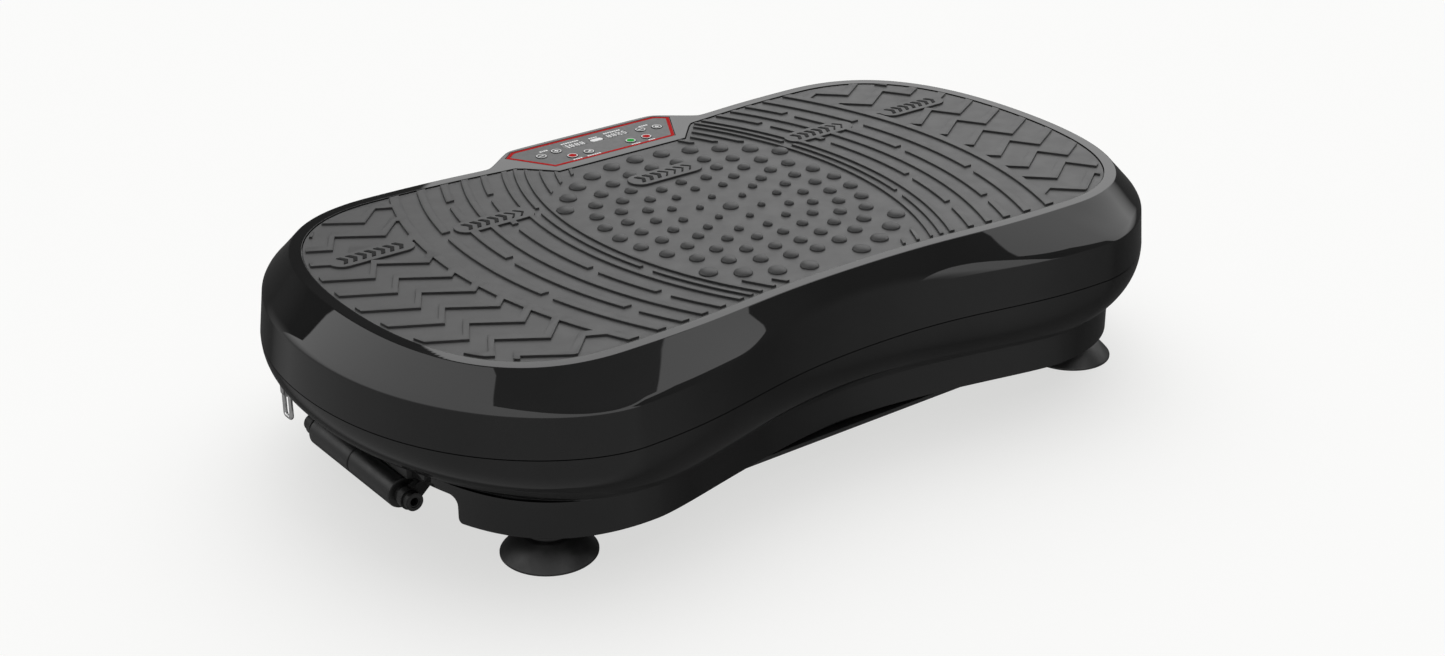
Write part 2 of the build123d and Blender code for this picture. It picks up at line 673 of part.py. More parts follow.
def frame_lugs(side):
    lugs = []
    for low, high in ((64, 67), (83, 86)):
        y0, y1 = sorted((side * low, side * high))
        lug = block(CRANK_X + THROW - 14, CRANK_X + THROW + 14, y0, y1, PIN_Z - 12, RAIL_LOW_Z + 2)
        lugs.append(lug)
    return lugs


def deck_frame():
    frame = rail(1) + rail(-1)
    for x in (-248, -120, 0, CRANK_X + THROW, 248):
        frame += cross_member(x)
    for side in (1, -1):
        frame += hub(side)
        for lug in frame_lugs(side):
            reach = lug - block(-400, 400, -300, 300, RAIL_LOW_Z, 200)
            frame += reach
        low_y, high_y = sorted((side * 62, side * 71))
        strip = block(CRANK_X - 12, CRANK_X + 16, low_y, high_y, RAIL_LOW_Z, RAIL_LOW_Z + 2)
        frame += strip
        frame -= rod_y(PIN_RADIUS, CRANK_X + THROW, PIN_Z, *sorted((side * 60, side * 90)))
    return frame - rod_y(PIVOT_RADIUS + RUNNING, 0, AXLE_Z, -130, 130)


def rod_pins():
    return [rod_y(PIN_RADIUS, CRANK_X + THROW, PIN_Z, *sorted((s * 63, s * 87))) for s in (1, -1)]


# ---------------------------------------------------------------- roller, rings, inlet, switch
def transport_roller():
    roller = rod_y(ROLLER_RADIUS, ROLLER_X, ROLLER_Z, -ROLLER_HALF, ROLLER_HALF)
    groove = rod_y(ROLLER_RADIUS + 1, ROLLER_X, ROLLER_Z, -0.8, 0.8)
    groove -= rod_y(ROLLER_RADIUS - 0.8, ROLLER_X, ROLLER_Z, -1, 1)
    roller -= groove
    roller += rod_y(6.3, ROLLER_X, ROLLER_Z, -ROLLER_HALF - 4, ROLLER_HALF + 4)
    return roller - rod_y(ROLLER_AXLE_RADIUS + RUNNING, ROLLER_X, ROLLER_Z, -80, 80)


def roller_axle():
    axle = rod_y(ROLLER_AXLE_RADIUS, ROLLER_X, ROLLER_Z, -68.5, 68.5)
    return axle - rod_y(2.8, ROLLER_X, ROLLER_Z, -70, -60) - rod_y(2.8, ROLLER_X, ROLLER_Z, 60, 70)


def roller_bracket(side):
    """Collar and sleeve round the axle end, on an arm that leans in under the cover."""
    low_y, high_y = sorted((side * 59, side * 64))
    sleeve_low, sleeve_high = sorted((side * 62, side * 69))
    top_x = ROLLER_X + BRACKET_LEAN
    side_view = polygon_face([
        (ROLLER_X - 3.5, ROLLER_Z + 5.0), (top_x - 4.5, BRACKET_TOP_Z - 5.5), (top_x - 4.5, BRACKET_TOP_Z),
        (top_x + 4.5, BRACKET_TOP_Z), (top_x + 4.5, BRACKET_TOP_Z - 8.0), (ROLLER_X + 4.5, ROLLER_Z - 4.0),
    ])
    arm = Rot(90, 0, 0) * slab(side_view, -high_y, -low_y)
    arm += rod_y(7.4, ROLLER_X, ROLLER_Z, low_y, high_y)
    arm += rod_y(6.2, ROLLER_X, ROLLER_Z, sleeve_low, sleeve_high)
    return arm - rod_y(ROLLER_AXLE_RADIUS, ROLLER_X, ROLLER_Z, -80, 80)


def hook_clip(side):
    x, y, z = RING_POS
    half = RING_HALF_WIDTH - 2.2
    tube = rod_y(3.4, side * x, z, y - half, y + half)
    tab = block(*sorted((side * (x - 3.4), side * (x + 3.4))), y - half, y + half, z, LUG_Z)
    return tube + tab - rod_y(RING_WIRE + RUNNING, side * x, z, y - 20, y + 20)


def band_ring(side):
    """Wire loop with its straight bar through the clip's tube."""
    x, y, z = RING_POS
    half, drop, bend = RING_HALF_WIDTH, RING_DROP, 2.0
    path = Wire.make_polygon([
        (side * x, y - half, z), (side * x, y + half, z),
        (side * x, y + half, z - drop), (side * x, y - half, z - drop),
    ], close=True)
    path = path.fillet_2d(bend, path.vertices())
    start = Plane(origin=(side * x, y, z), z_dir=(0, 1, 0))
    return sweep(start * Circle(RING_WIRE), path=path)


def power_inlet():
    body = block(INLET_X - 14, INLET_X + 14, 124, SERVICE_Y, SERVICE_Z - 10, SERVICE_Z + 10)
    flange = block(INLET_X - 17, INLET_X + 17, SERVICE_Y, SERVICE_Y + 1.8, SERVICE_Z - 11, SERVICE_Z + 11)
    inlet = body + flange - block(INLET_X - 12, INLET_X + 12, 134, 160, SERVICE_Z - 8, SERVICE_Z + 8)
    for dx, dz in ((-7, -1.5), (0, 1.5), (7, -1.5)):
        inlet += block(INLET_X + dx - 1, INLET_X + dx + 1, 134, 146, SERVICE_Z + dz - 2, SERVICE_Z + dz + 2)
    return inlet


def switch_housing():
    body = block(SWITCH_X - 10.5, SWITCH_X + 10.5, 128, SERVICE_Y, SERVICE_Z - 7, SERVICE_Z + 7)
    low_z, high_z = SERVICE_Z - 8.5, SERVICE_Z + 8.5
    flange = block(SWITCH_X - 12.5, SWITCH_X + 12.5, SERVICE_Y, SERVICE_Y + 1.5, low_z, high_z)
    body += flange
    body -= block(SWITCH_X - 9.5, SWITCH_X + 9.5, 134, 160, SERVICE_Z - 5.5, SERVICE_Z + 5.5)
    return body - rocker_pin(ROCKER_PIN_RADIUS + RUNNING, 6.4)


def rocker_pin(radius, half_height):
    return rod_z(radius, SWITCH_X, ROCKER_PIVOT_Y, SERVICE_Z - half_height, SERVICE_Z + half_height)


def power_rocker():
    """Shallow V face, resting tipped to the off side of its upright pivot."""
    front = SERVICE_Y + 2.6
    plan = polygon_face([
        (SWITCH_X - 8.4, front), (SWITCH_X, front - 2.0), (SWITCH_X + 8.4, front),
        (SWITCH_X + 7.6, front - 6.5), (SWITCH_X - 7.6, front - 6.5),
    ])
    level = slab(plan, SERVICE_Z - 5.2, SERVICE_Z + 5.2)
    pivot = Pos(SWITCH_X, ROCKER_PIVOT_Y, 0)
    return pivot * Rot(0, 0, -ROCKER_TIP) * pivot.inverse() * level + rocker_pin(ROCKER_PIN_RADIUS, 6.3)


def cover_screws():
    low = SHELL_FOOT_Z + 6
    return [
        rod_z(1.8, x, y, low + 4, SEAM_Z + 14) + rod_z(3.3, x, y, low + 1.5, low + 4)
        for px, py in SCREW_POS for x, y in all_corners(px, py)
    ]


# ---------------------------------------------------------------- files
def solid_group(shapes):
    return Compound(children=[solid for shape in shapes for solid in shape.solids()])


def write(name, shape):
    solids = shape.solids() if not isinstance(shape, (list, tuple)) else solid_group(shape).solids()
    keep = solids[0] if len(solids) == 1 else Compound(children=list(solids))
    export_step(keep, os.path.join("parts", name + ".step"))


def build_all():
    os.makedirs("parts", exist_ok=True)
    write("base_plate", base_plate())
    for name, (sx, sy) in {"left_front": (-1, -1), "left_rear": (-1, 1), "right_front": (1, -1),
                           "right_rear": (1, 1)}.items():
        write("suction_foot_" + name, suction_foot(sx * FOOT_POS[0], sy * FOOT_POS[1]))
    write("foot_studs", [foot_stud(x, y) for x, y in all_corners(*FOOT_POS)])
    write("foot_nuts", [foot_nut(x, y) for x, y in all_corners(*FOOT_POS)])
    write("pivot_stand_front", pivot_stand(-1))
    write("pivot_stand_rear", pivot_stand(1))
    write("pivot_stand_screws", pivot_stand_screws())
    write("pivot_shaft", rod_y(PIVOT_RADIUS, 0, AXLE_Z, -122, 122))
    write("motor_bracket", motor_bracket())
    write("motor_body", motor_body())
    write("motor_screws", motor_screws())
    write("drive_belt", drive_belt())
    write("crank_bearing_front", crank_bearing(-1))
    write("crank_bearing_rear", crank_bearing(1))
    write("crank_bearing_screws", crank_bearing_screws())
    write("driver_board", driver_board())
    write("driver_standoffs", driver_standoffs())

    write("motor_shaft", rod_y(5, MOTOR_X, AXLE_Z, -40, 65))
    write("motor_pulley", motor_pulley())
    write("eccentric_shaft", eccentric_shaft())
    write("driven_pulley", driven_pulley())
    write("connecting_rod_front", connecting_rod(-1))
    write("connecting_rod_rear", connecting_rod(1))

    write("deck_frame", deck_frame())
    write("rod_pins", rod_pins())
    write("top_cover", top_cover())
    write("lower_cover", lower_cover())
    write("deck_mat", deck_mat())
    write("panel_overlay", panel_overlay())
    write("display_board", display_board())
    for name, (x, y) in DISPLAYS.items():
        write(name, panel_window(x, y, *DISPLAY_SIZE))
    write("remote_window", panel_window(*REMOTE_WINDOW, *REMOTE_SIZE))
    for name, (x, y) in BUTTONS.items():
        write(name, panel_button(x, y))
    write("cover_screws", cover_screws())
    write("power_inlet", power_inlet())
    write("switch_housing", switch_housing())
    write("power_rocker", power_rocker())
    write("transport_roller", transport_roller())
    write("roller_axle", roller_axle())
    write("roller_bracket_front", roller_bracket(-1))
    write("roller_bracket_rear", roller_bracket(1))
    for name, side in {"left": -1, "right": 1}.items():
        write("hook_clip_" + name, hook_clip(side))
        write("band_ring_" + name, band_ring(side))


build_all()
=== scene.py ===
"""Looks of the vibration plate: shells, rubber mat, control panel, feet, finishes, light and camera."""
import json
import math

import bmesh
import bpy
import numpy as np
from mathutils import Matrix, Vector
from mathutils.geometry import delaunay_2d_cdt, tessellate_polygon


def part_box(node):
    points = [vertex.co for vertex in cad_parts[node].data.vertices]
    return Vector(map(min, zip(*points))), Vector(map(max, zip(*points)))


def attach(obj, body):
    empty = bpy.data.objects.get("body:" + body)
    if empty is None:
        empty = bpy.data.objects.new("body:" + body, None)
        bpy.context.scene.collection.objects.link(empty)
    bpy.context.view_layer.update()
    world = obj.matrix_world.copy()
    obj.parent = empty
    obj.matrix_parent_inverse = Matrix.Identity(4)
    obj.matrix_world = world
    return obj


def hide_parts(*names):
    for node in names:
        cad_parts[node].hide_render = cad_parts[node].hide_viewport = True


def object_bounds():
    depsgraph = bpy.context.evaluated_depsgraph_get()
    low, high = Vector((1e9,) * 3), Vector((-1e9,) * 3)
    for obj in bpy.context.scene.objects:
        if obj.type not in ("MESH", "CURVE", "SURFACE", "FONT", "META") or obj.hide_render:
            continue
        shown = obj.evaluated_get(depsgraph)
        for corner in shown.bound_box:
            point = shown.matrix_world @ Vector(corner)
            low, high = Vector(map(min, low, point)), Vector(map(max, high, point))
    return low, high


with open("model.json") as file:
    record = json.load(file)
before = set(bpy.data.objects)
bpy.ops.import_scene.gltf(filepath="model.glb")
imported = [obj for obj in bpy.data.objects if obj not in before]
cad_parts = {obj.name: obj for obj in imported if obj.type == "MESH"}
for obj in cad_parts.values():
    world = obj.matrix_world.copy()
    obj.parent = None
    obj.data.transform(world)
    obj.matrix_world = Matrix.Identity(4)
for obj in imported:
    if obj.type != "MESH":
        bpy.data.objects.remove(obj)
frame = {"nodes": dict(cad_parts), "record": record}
cad_low, cad_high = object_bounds()

# ---- sizes, in millimetres
MM = 0.001


def low_of(node):
    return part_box(node)[0] / MM


def high_of(node):
    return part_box(node)[1] / MM


def ends_of(node):
    return low_of(node), high_of(node)


def centre_of(node):
    return (low_of(node) + high_of(node)) / 2


SEAM_Z = low_of("top_cover").z
RING_Z = high_of("top_cover").z
SKIRT_Z = low_of("lower_cover").z
HALF_LENGTH = high_of("top_cover").x
SHOULDER_Z = SEAM_Z + 27.8
SHELL_FOOT_Z = SEAM_Z - 41
ROOF_Z = high_of("deck_frame").z
WALL = 3

# half width at the waist, lobe centre, half width at the lobes, half length, and four curve shares
SEAM = (166.6, 200.9, 189.9, HALF_LENGTH, 0.48, 0.41, 0.36, 0.68)
SHOULDER = (159.4, 202.6, 188, HALF_LENGTH - 4.3, 0.48, 0.41, 0.36, 0.68)
RING = (148.5, 195, 159, HALF_LENGTH - 29.5, 0.50, 0.50, 0.64, 0.68)
MAT = (140, 195, 150.5, high_of("deck_mat").x, 0.50, 0.50, 0.64, 0.68)
SHELL_FOOT = (145, 182, 173, HALF_LENGTH - 36, 0.43, 0.25, 0.60, 0.55)
SKIRT = (141.5, 180.9, 169.8, HALF_LENGTH - 39.7, 0.40, 0.16, 0.90, 0.43)

# control pod: half width and depth of its back edge, half width and depth where its sides end
POD_RING = (67, 178, 106, 146)
POD_SHOULDER = (71, 186, 116, 146)
POD_SEAM = (72, 187.5, 118, 146)
POD_MID = (69, 176.25, 112.6, 138.2)
POD_FOOT = (62, 150, 100, 120)
POD_MID_Z = 68
POD_CORNER = 3

MAT_LOW_Z = low_of("deck_mat").z
MAT_FLOOR_Z = MAT_LOW_Z + 3
RIB_TOP_Z = MAT_FLOOR_Z + 1.6
DOT_TOP_Z = high_of("deck_mat").z
DOT_CROWN = 0.9                # the rubber domes stand a little prouder than their cones
NOTCH = ((76, 139), (58, 119.5))
PANEL_LOW_Z = low_of("panel_overlay").z
PANEL_Z = high_of("panel_overlay").z
PANEL_CORNERS = ((66, 174), (76, 165.5), (55, 129))

KEYS = ("time_down", "time_up", "power", "program", "start", "stop", "speed_down", "speed_up")
KEY_RADIUS = 4.25
KEY_RING = 0.64                # width of the printed ring on a key
DISPLAYS = ("time_display", "speed_display")
SEGMENTS = {"0": "abcdef", "1": "bc", "2": "abdeg", "5": "acdfg"}  # lit bars of each digit
INK = 0.06                     # half the thickness of a printed line
WORD = 1.6                     # length of a dash that stands for a letter or two

PATTERN_MARGIN = 2.4
# inner edge, outer edge and gaps of each curved rib
RIBS = (
    (109.8, 112.2, ()),
    (117.7, 120.5, ((-72, -61), (57, 67))),
    (125.8, 129.7, ()),
    (141.2, 145.8, ((-111, -100), (-52, -42), (42, 52), (99, 110))),
    (156, 161.2, ()),
    (171.2, 177, ((-118, -107), (-6, 5), (105, 116))),
    (189, 195.2, ((-69, -58), (57, 68))),
    (209, 216.3, ()),
)
SHORT_RIBS = ((98.7, 101.1), (87.6, 90), (76.1, 78.5))
RIB_END = 170                  # well past the mat's border, which trims the ribs
RIB_RADIUS_AT_112 = 290
RIB_RADIUS_GROWTH = 0.70
CHEVRON_PITCH = 29.3
CHEVRON_RISE = 7.8
CHEVRON_PATH = ((300, 21.6), (261.7, 0), (249.7, 20), (221, 0.5), (202.5, 19), (190, 12.5))
DOT_CENTRE_Y = -12
# radius of each ring of domes, how many, and their radius
DOT_RINGS = ((22, 6, 2.9), (41.9, 12, 3.5), (58.9, 18, 4.3), (77.7, 24, 4.9), (95.8, 28, 5.4),
             (117.1, 32, 6.5))
CENTRE_DOT_RADIUS = 5.8
CLEAR_RADIUS = 131
PILL_Y = 67
PILL_SIZE = (63, 20)
PILLS = ((0, 3), (147, 5), (243.5, 7))  # distance from the middle, and bold strokes
PACE_STROKES = 7
PACE_PITCH = 7

AROUND = 1200
ROLL_AT_LOBES = 6              # width of the soft roll along the foot of the bevel
ROLL_AT_WAIST = 15
ROLL_SPREAD = 110
ROLL_BULGE = 0.14              # how far its middle stands out, and its share below that, of its width
ROLL_BELOW = 0.45
SEAM_GAP = 0.30                # each cover's half of the shadow line where they meet
SEAM_DEPTH = 1.5
LEFT_NOTCH = (-98, 112, SHELL_FOOT_Z - 7)  # both ends and the top of each opening in the skirt
RIGHT_NOTCH = (72, 112, SHELL_FOOT_Z - 1)
NOTCH_CORNER = 7
NOTCH_EASE = 4
# half width and height of the raised frame, and of the opening in it
SERVICE_BOSSES = (("power_inlet", 20, 11.5, 14, 10), ("switch_housing", 16, 10, 10.5, 7))
SMALLEST_HOLE = 6              # square millimetres; smaller gaps in the rib pattern are filled
SHARP = 35                     # degrees; a steeper edge is shaded as a crease
COVER_SCREWS = ((272, 60), (196, 142), (74, 128))
SEAM_HEIGHT_LOOPS = 14         # loops from the seam down to the foot of the bulge


# ---- plan curves
def bezier(points, shares):
    p0, p1, p2, p3 = [np.array(p, float) for p in points]
    t = shares[:, None]
    return (1 - t) ** 3 * p0 + 3 * t * (1 - t) ** 2 * p1 + 3 * t * t * (1 - t) * p2 + t ** 3 * p3


def quarter(outline):
    """Points from the waist round to the end of one quarter of a waisted outline."""
    waist, lobe_x, lobe, end, a, b, c, d = outline
    shares = np.linspace(0, 1, 240)
    side = bezier([(0, waist), (a * lobe_x, waist), ((1 - b) * lobe_x, lobe), (lobe_x, lobe)], shares)
    cap = bezier([(lobe_x, lobe), (lobe_x + c * (end - lobe_x), lobe), (end, d * lobe), (end, 0)], shares)
    return np.vstack([side, cap[1:]])


def waisted_radius(outline, angles):
    points = quarter(outline)
    turn = np.arctan2(points[:, 1], points[:, 0])[::-1]
    reach = np.hypot(points[:, 0], points[:, 1])[::-1]
    folded = np.arctan2(np.abs(np.sin(angles)), np.abs(np.cos(angles)))
    return np.interp(folded, turn, reach)


def pod_radius(pod, angles):
    """Reach of the pod's back edge and two slanted sides, with its corners eased."""
    back_half, back_y, front_half, front_y = pod
    run, drop = front_half - back_half, back_y - front_y
    length = math.hypot(run, drop)
    nx, ny = drop / length, run / length
    across, up = np.abs(np.cos(angles)), np.sin(angles)
    side = (nx * back_half + ny * back_y) / np.maximum(nx * across + ny * up, 0.05)
    back = back_y / np.maximum(up, 0.05)
    eased = (side + back - np.sqrt((side - back) ** 2 + POD_CORNER ** 2)) / 2
    return np.where(up > 0.3, eased, 0)


def outer_radius(outline, pod, angles):
    body = waisted_radius(outline, angles)
    bump = pod_radius(pod, angles)
    return (body + bump + np.sqrt((body - bump) ** 2 + POD_CORNER ** 2)) / 2


def mix(first, second, share):
    return tuple(p + (q - p) * share for p, q in zip(first, second))


def shrunk(outline, inset):
    waist, lobe_x, lobe, end = outline[:4]
    return (waist - inset, lobe_x, lobe - inset, end - inset) + tuple(outline[4:])


def pod_shrunk(pod, inset):
    back_half, back_y, front_half, front_y = pod
    return (back_half - inset, back_y - inset, front_half - inset, front_y)


def even_angles():
    """Angles that step evenly along the seam outline."""
    dense = np.linspace(0, 2 * math.pi, 20001)
    reach = outer_radius(SEAM, POD_SEAM, dense)
    x, y = reach * np.cos(dense), reach * np.sin(dense)
    length = np.concatenate([[0], np.cumsum(np.hypot(np.diff(x), np.diff(y)))])
    steps = np.linspace(0, length[-1], AROUND + 1)[:-1]
    return np.interp(steps, length, dense)


ANGLES = even_angles()


def waisted_loop(outline, steps=420):
    angles = np.linspace(0, 2 * math.pi, steps + 1)[:-1]
    reach = waisted_radius(outline, angles)
    return [(r * math.cos(t), r * math.sin(t)) for r, t in zip(reach, angles)]


def arc(x, y, radius, start, end, steps=6):
    turns = [math.radians(start + (end - start) * k / steps) for k in range(steps + 1)]
    return [(x + radius * math.cos(t), y + radius * math.sin(t)) for t in turns]


def circle_loop(x, y, radius, steps=48):
    return arc(x, y, radius, 0, 360, steps)[:-1]


def box_loop(x0, x1, y0, y1, corner=0, steps=5):
    if not corner:
        return [(x0, y0), (x1, y0), (x1, y1), (x0, y1)]
    left, right, low, high = x0 + corner, x1 - corner, y0 + corner, y1 - corner
    corners = ((right, low, -90), (right, high, 0), (left, high, 90), (left, low, 180))
    return [point for x, y, start in corners for point in arc(x, y, corner, start, start + 90, steps)]


def both_ways(half):
    """Closed outline from its right half, given from back to front."""
    points = list(half) + [(-x, y) for x, y in reversed(half)]
    return points[::-1]


def offset(loop, distance):
    """The outline moved to its right by a distance: outwards, where it runs anticlockwise."""
    moved = []
    for k in range(len(loop)):
        before, here, after = Vector(loop[k - 1]), Vector(loop[k]), Vector(loop[(k + 1) % len(loop)])
        come, leave = (here - before).normalized(), (after - here).normalized()
        n0, n1 = Vector((come.y, -come.x)), Vector((leave.y, -leave.x))
        shift = (n0 + n1) * (distance / max(1 + n0.dot(n1), 0.45))
        moved.append((here.x + shift.x, here.y + shift.y))
    return moved


def signed_area(loop):
    """Positive for an anticlockwise loop."""
    return sum(loop[k - 1][0] * loop[k][1] - loop[k][0] * loop[k - 1][1] for k in range(len(loop))) / 2


def thinned(loop, gap=0.25):
    """The loop without points that crowd their neighbours."""
    kept = []
    for point in loop:
        if not kept or math.dist(point, kept[-1]) > gap:
            kept.append(point)
    while len(kept) > 3 and math.dist(kept[0], kept[-1]) < gap:
        kept.pop()
    return kept


def regions(outlines, keep):
    """Joins outlines in the plane and returns, for each joined region, its border loops.
    keep gets the set of outlines that cover a spot and says whether it is solid."""
    points, faces = [], []
    for outline in outlines:
        faces.append(list(range(len(points), len(points) + len(outline))))
        points.extend(Vector(p) for p in (outline if signed_area(outline) > 0 else outline[::-1]))
    made, _, cells, _, _, owners = delaunay_2d_cdt(points, [], faces, 1, 1e-6)
    solid = [cell for cell, owner in zip(cells, owners) if keep(set(owner))]
    return border_loops([tuple(p) for p in made], solid)


def border_loops(points, cells):
    """Border loops of each group of cells that share edges."""
    edge_cells = {(a, b): number for number, cell in enumerate(cells)
                  for a, b in zip(cell[-1:] + cell, cell)}
    group = list(range(len(cells)))

    def root(k):
        while group[k] != k:
            group[k] = group[group[k]]
            k = group[k]
        return k

    for (a, b), number in edge_cells.items():
        if (b, a) in edge_cells:
            group[root(number)] = root(edge_cells[(b, a)])
    borders = {}
    for (a, b), number in edge_cells.items():
        if (b, a) not in edge_cells:
            borders.setdefault(root(number), {}).setdefault(a, []).append(b)
    found = []
    for following in borders.values():
        loops = []
        while following:
            start = here = next(iter(following))
            loop = []
            while True:
                loop.append(points[here])
                after = following[here].pop()
                if not following[here]:
                    del following[here]
                here = after
                if here == start:
                    break
            loops.append(loop)
        found.append(loops)
    return found


# ---- mesh helpers
class Shape:
    """Points in millimetres, and faces, gathered into one mesh."""

    def __init__(self):
        self.points = []
        self.faces = []
        self.paints = []
        self.paint = 0

    def ring(self, loop, z=None):
        start = len(self.points)
        self.points.extend((p[0], p[1], z if z is not None else p[2]) for p in loop)
        return list(range(start, start + len(loop)))

    def face(self, corners):
        self.faces.append(tuple(corners))
        self.paints.append(self.paint)

    def band(self, lower, upper):
        for k in range(len(lower)):
            self.face((lower[k - 1], lower[k], upper[k], upper[k - 1]))

    def stack(self, loops):
        rings = [self.ring(loop) for loop in loops]
        for lower, upper in zip(rings, rings[1:]):
            self.band(lower, upper)
        return rings

    def fill(self, *rings):
        order = [k for ring in rings for k in ring]
        loops = [[Vector(self.points[k]) for k in ring] for ring in rings]
        for triangle in tessellate_polygon(loops):
            self.face([order[k] for k in triangle])

    def sleeve(self, loop_at, levels):
        """Open wall from a function of the outward offset and its (offset, height) pairs."""
        return self.stack([[(x, y, z) for x, y in loop_at(grow)] for grow, z in levels])

    def bar(self, section, start, end):
        """Straight closed bar. section gives its outline for a place along it."""
        near, far = self.ring(section(start)), self.ring(section(end))
        self.band(near, far)
        self.fill(near)
        self.fill(far)
        return self

    def prism(self, loops, levels):
        """Closed solid over border loops. levels are (outward offset, height) pairs from the bottom up."""
        bottom, top = [], []
        for loop in loops:
            rings = [self.ring(offset(loop, grow), z) for grow, z in levels]
            for lower, upper in zip(rings, rings[1:]):
                self.band(lower, upper)
            bottom += rings[0]
            top += rings[-1]
        for triangle in tessellate_polygon([[Vector((x, y, 0)) for x, y in loop] for loop in loops]):
            self.face([bottom[k] for k in triangle])
            self.face([top[k] for k in triangle])

    def turned(self, profile, place, lying=False, steps=64):
        """Solid of revolution about Z, or about Y if lying. profile is (radius, place along) pairs."""
        rings = []
        for radius, along in profile:
            around = circle_loop(0, 0, radius, steps) if radius > 1e-6 else [(0, 0)]
            ends = [(u, along, v) if lying else (u, v, along) for u, v in around]
            rings.append(self.ring([tuple(p + q for p, q in zip(place, end)) for end in ends]))
        for lower, upper in zip(rings, rings[1:]):
            for k in range(steps):
                corners = [lower[(k - 1) % len(lower)], lower[k % len(lower)],
                           upper[k % len(upper)], upper[(k - 1) % len(upper)]]
                self.face(dict.fromkeys(corners))
        if profile[0] == profile[-1]:
            weld = dict(zip(rings[-1], rings[0]))
            self.faces = [tuple(weld.get(k, k) for k in f) for f in self.faces]

    def swept(self, path, side, radius, steps=16):
        """Round wire along a closed flat path of 3-D points, with side square to its plane."""
        points = [Vector(p) for p in path]
        rings = []
        for k, here in enumerate(points):
            out = (points[(k + 1) % len(points)] - points[k - 1]).normalized().cross(side)
            around = circle_loop(0, 0, radius, steps)
            rings.append(self.ring([tuple(here + u * out + v * side) for u, v in around]))
        for k in range(len(rings)):
            self.band(rings[k - 1], rings[k])


def mesh_object(name, shape):
    """Object with the shape as its mesh, without stray points and with its faces turned outwards."""
    mesh = bpy.data.meshes.new(name)
    mesh.from_pydata([(x * MM, y * MM, z * MM) for x, y, z in shape.points], [], shape.faces)
    for paint, polygon in zip(shape.paints, mesh.polygons):
        polygon.material_index = paint
    work = bmesh.new()
    work.from_mesh(mesh)
    bmesh.ops.delete(work, geom=[v for v in work.verts if not v.link_faces], context="VERTS")
    bmesh.ops.dissolve_degenerate(work, dist=1e-7, edges=work.edges)
    bmesh.ops.recalc_face_normals(work, faces=work.faces)
    work.to_mesh(mesh)
    work.free()
    thing = bpy.data.objects.new(name, mesh)
    bpy.context.scene.collection.objects.link(thing)
    return thing


def piece(name, shape, body, materials, slot, *nodes, sharp=SHARP):
    """Makes a piece, shades it, ties it to its body and hides the CAD nodes it stands for."""
    thing = mesh_object(name, shape)
    mesh = thing.data
    mesh.polygons.foreach_set("use_smooth", [True] * len(mesh.polygons))
    mesh.set_sharp_from_angle(angle=math.radians(sharp))
    for material in materials:
        mesh.materials.append(material)
    even = thing.modifiers.new("even shading", "WEIGHTED_NORMAL")
    even.keep_sharp = True
    even.weight = 100
    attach(thing, body)
    if nodes:
        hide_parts(*nodes)
    return thing


def cut(thing, cutter):
    """Takes a closed cutter shape away from a piece and keeps the result as its mesh."""
    tool = mesh_object("cutter", cutter)
    step = thing.modifiers.new("cut", "BOOLEAN")
    step.operation = "DIFFERENCE"
    step.solver = "EXACT"
    step.object = tool
    thing.data = bpy.data.meshes.new_from_object(thing.evaluated_get(bpy.context.evaluated_depsgraph_get()))
    thing.modifiers.remove(step)
    thing.data.set_sharp_from_angle(angle=math.radians(SHARP))
    bpy.data.objects.remove(tool)


# ---- covers
def ring_at(reach, z):
    """Loop with a reach for each of the angles, at one height."""
    return np.column_stack([reach * np.cos(ANGLES), reach * np.sin(ANGLES), np.full(AROUND, z)])


def level(outline, pod, z, inset=0):
    return ring_at(outer_radius(outline, pod, ANGLES) - inset, z)


def unit(steps):
    return steps / np.linalg.norm(steps, axis=1)[:, None]


def bend(start, corner, end, steps):
    shares = np.linspace(0, 1, steps + 1)
    return [(1 - t) ** 2 * start + 2 * t * (1 - t) * corner + t * t * end for t in shares]


def eased(before, corner, after, size, steps):
    """Loops that turn a hard corner between three loops into a smooth bend."""
    return bend(corner + unit(before - corner) * size, corner, corner + unit(after - corner) * size, steps)


def rolled(rim, crease):
    """Loops from the straight bevel down through a soft roll to the crease above the wall."""
    fall = unit(crease - rim)
    inward = -ring_at(1, 0)
    out = unit(fall * np.sum(fall * inward, axis=1)[:, None] - inward)
    waist = np.exp(-(crease[:, 0] / ROLL_SPREAD) ** 2)[:, None]
    wide = ROLL_AT_LOBES + (ROLL_AT_WAIST - ROLL_AT_LOBES) * waist
    corner = crease - fall * wide * ROLL_BELOW + out * wide * ROLL_BULGE
    start = corner - unit(corner - rim) * wide * (1 - ROLL_BELOW)
    return bend(start, corner, crease, 8)


def between(low, high, steps):
    return [low + (high - low) * k / (steps + 1) for k in range(1, steps + 1)]


def notch_loop(grow):
    """Notch in the mat round the panel. It opens past the mat's rear edge."""
    (top_half, top_y), (low_half, low_y) = NOTCH
    return both_ways([(top_half - grow + 14, top_y + 12), (top_half - grow, top_y + grow),
                      (low_half - grow, low_y + grow)])


def mat_loop(grow=0):
    """Border of the mat, with the notch that clears the panel."""
    outline = waisted_loop(shrunk(MAT, -grow))
    found = regions([outline, notch_loop(grow)], lambda owners: 0 in owners and 1 not in owners)
    return thinned(max((loops[0] for loops in found), key=len), 0.4)


def panel_loop(grow=0):
    return offset(both_ways(PANEL_CORNERS), grow)


def key_places():
    return [centre_of("button_" + key) for key in KEYS]


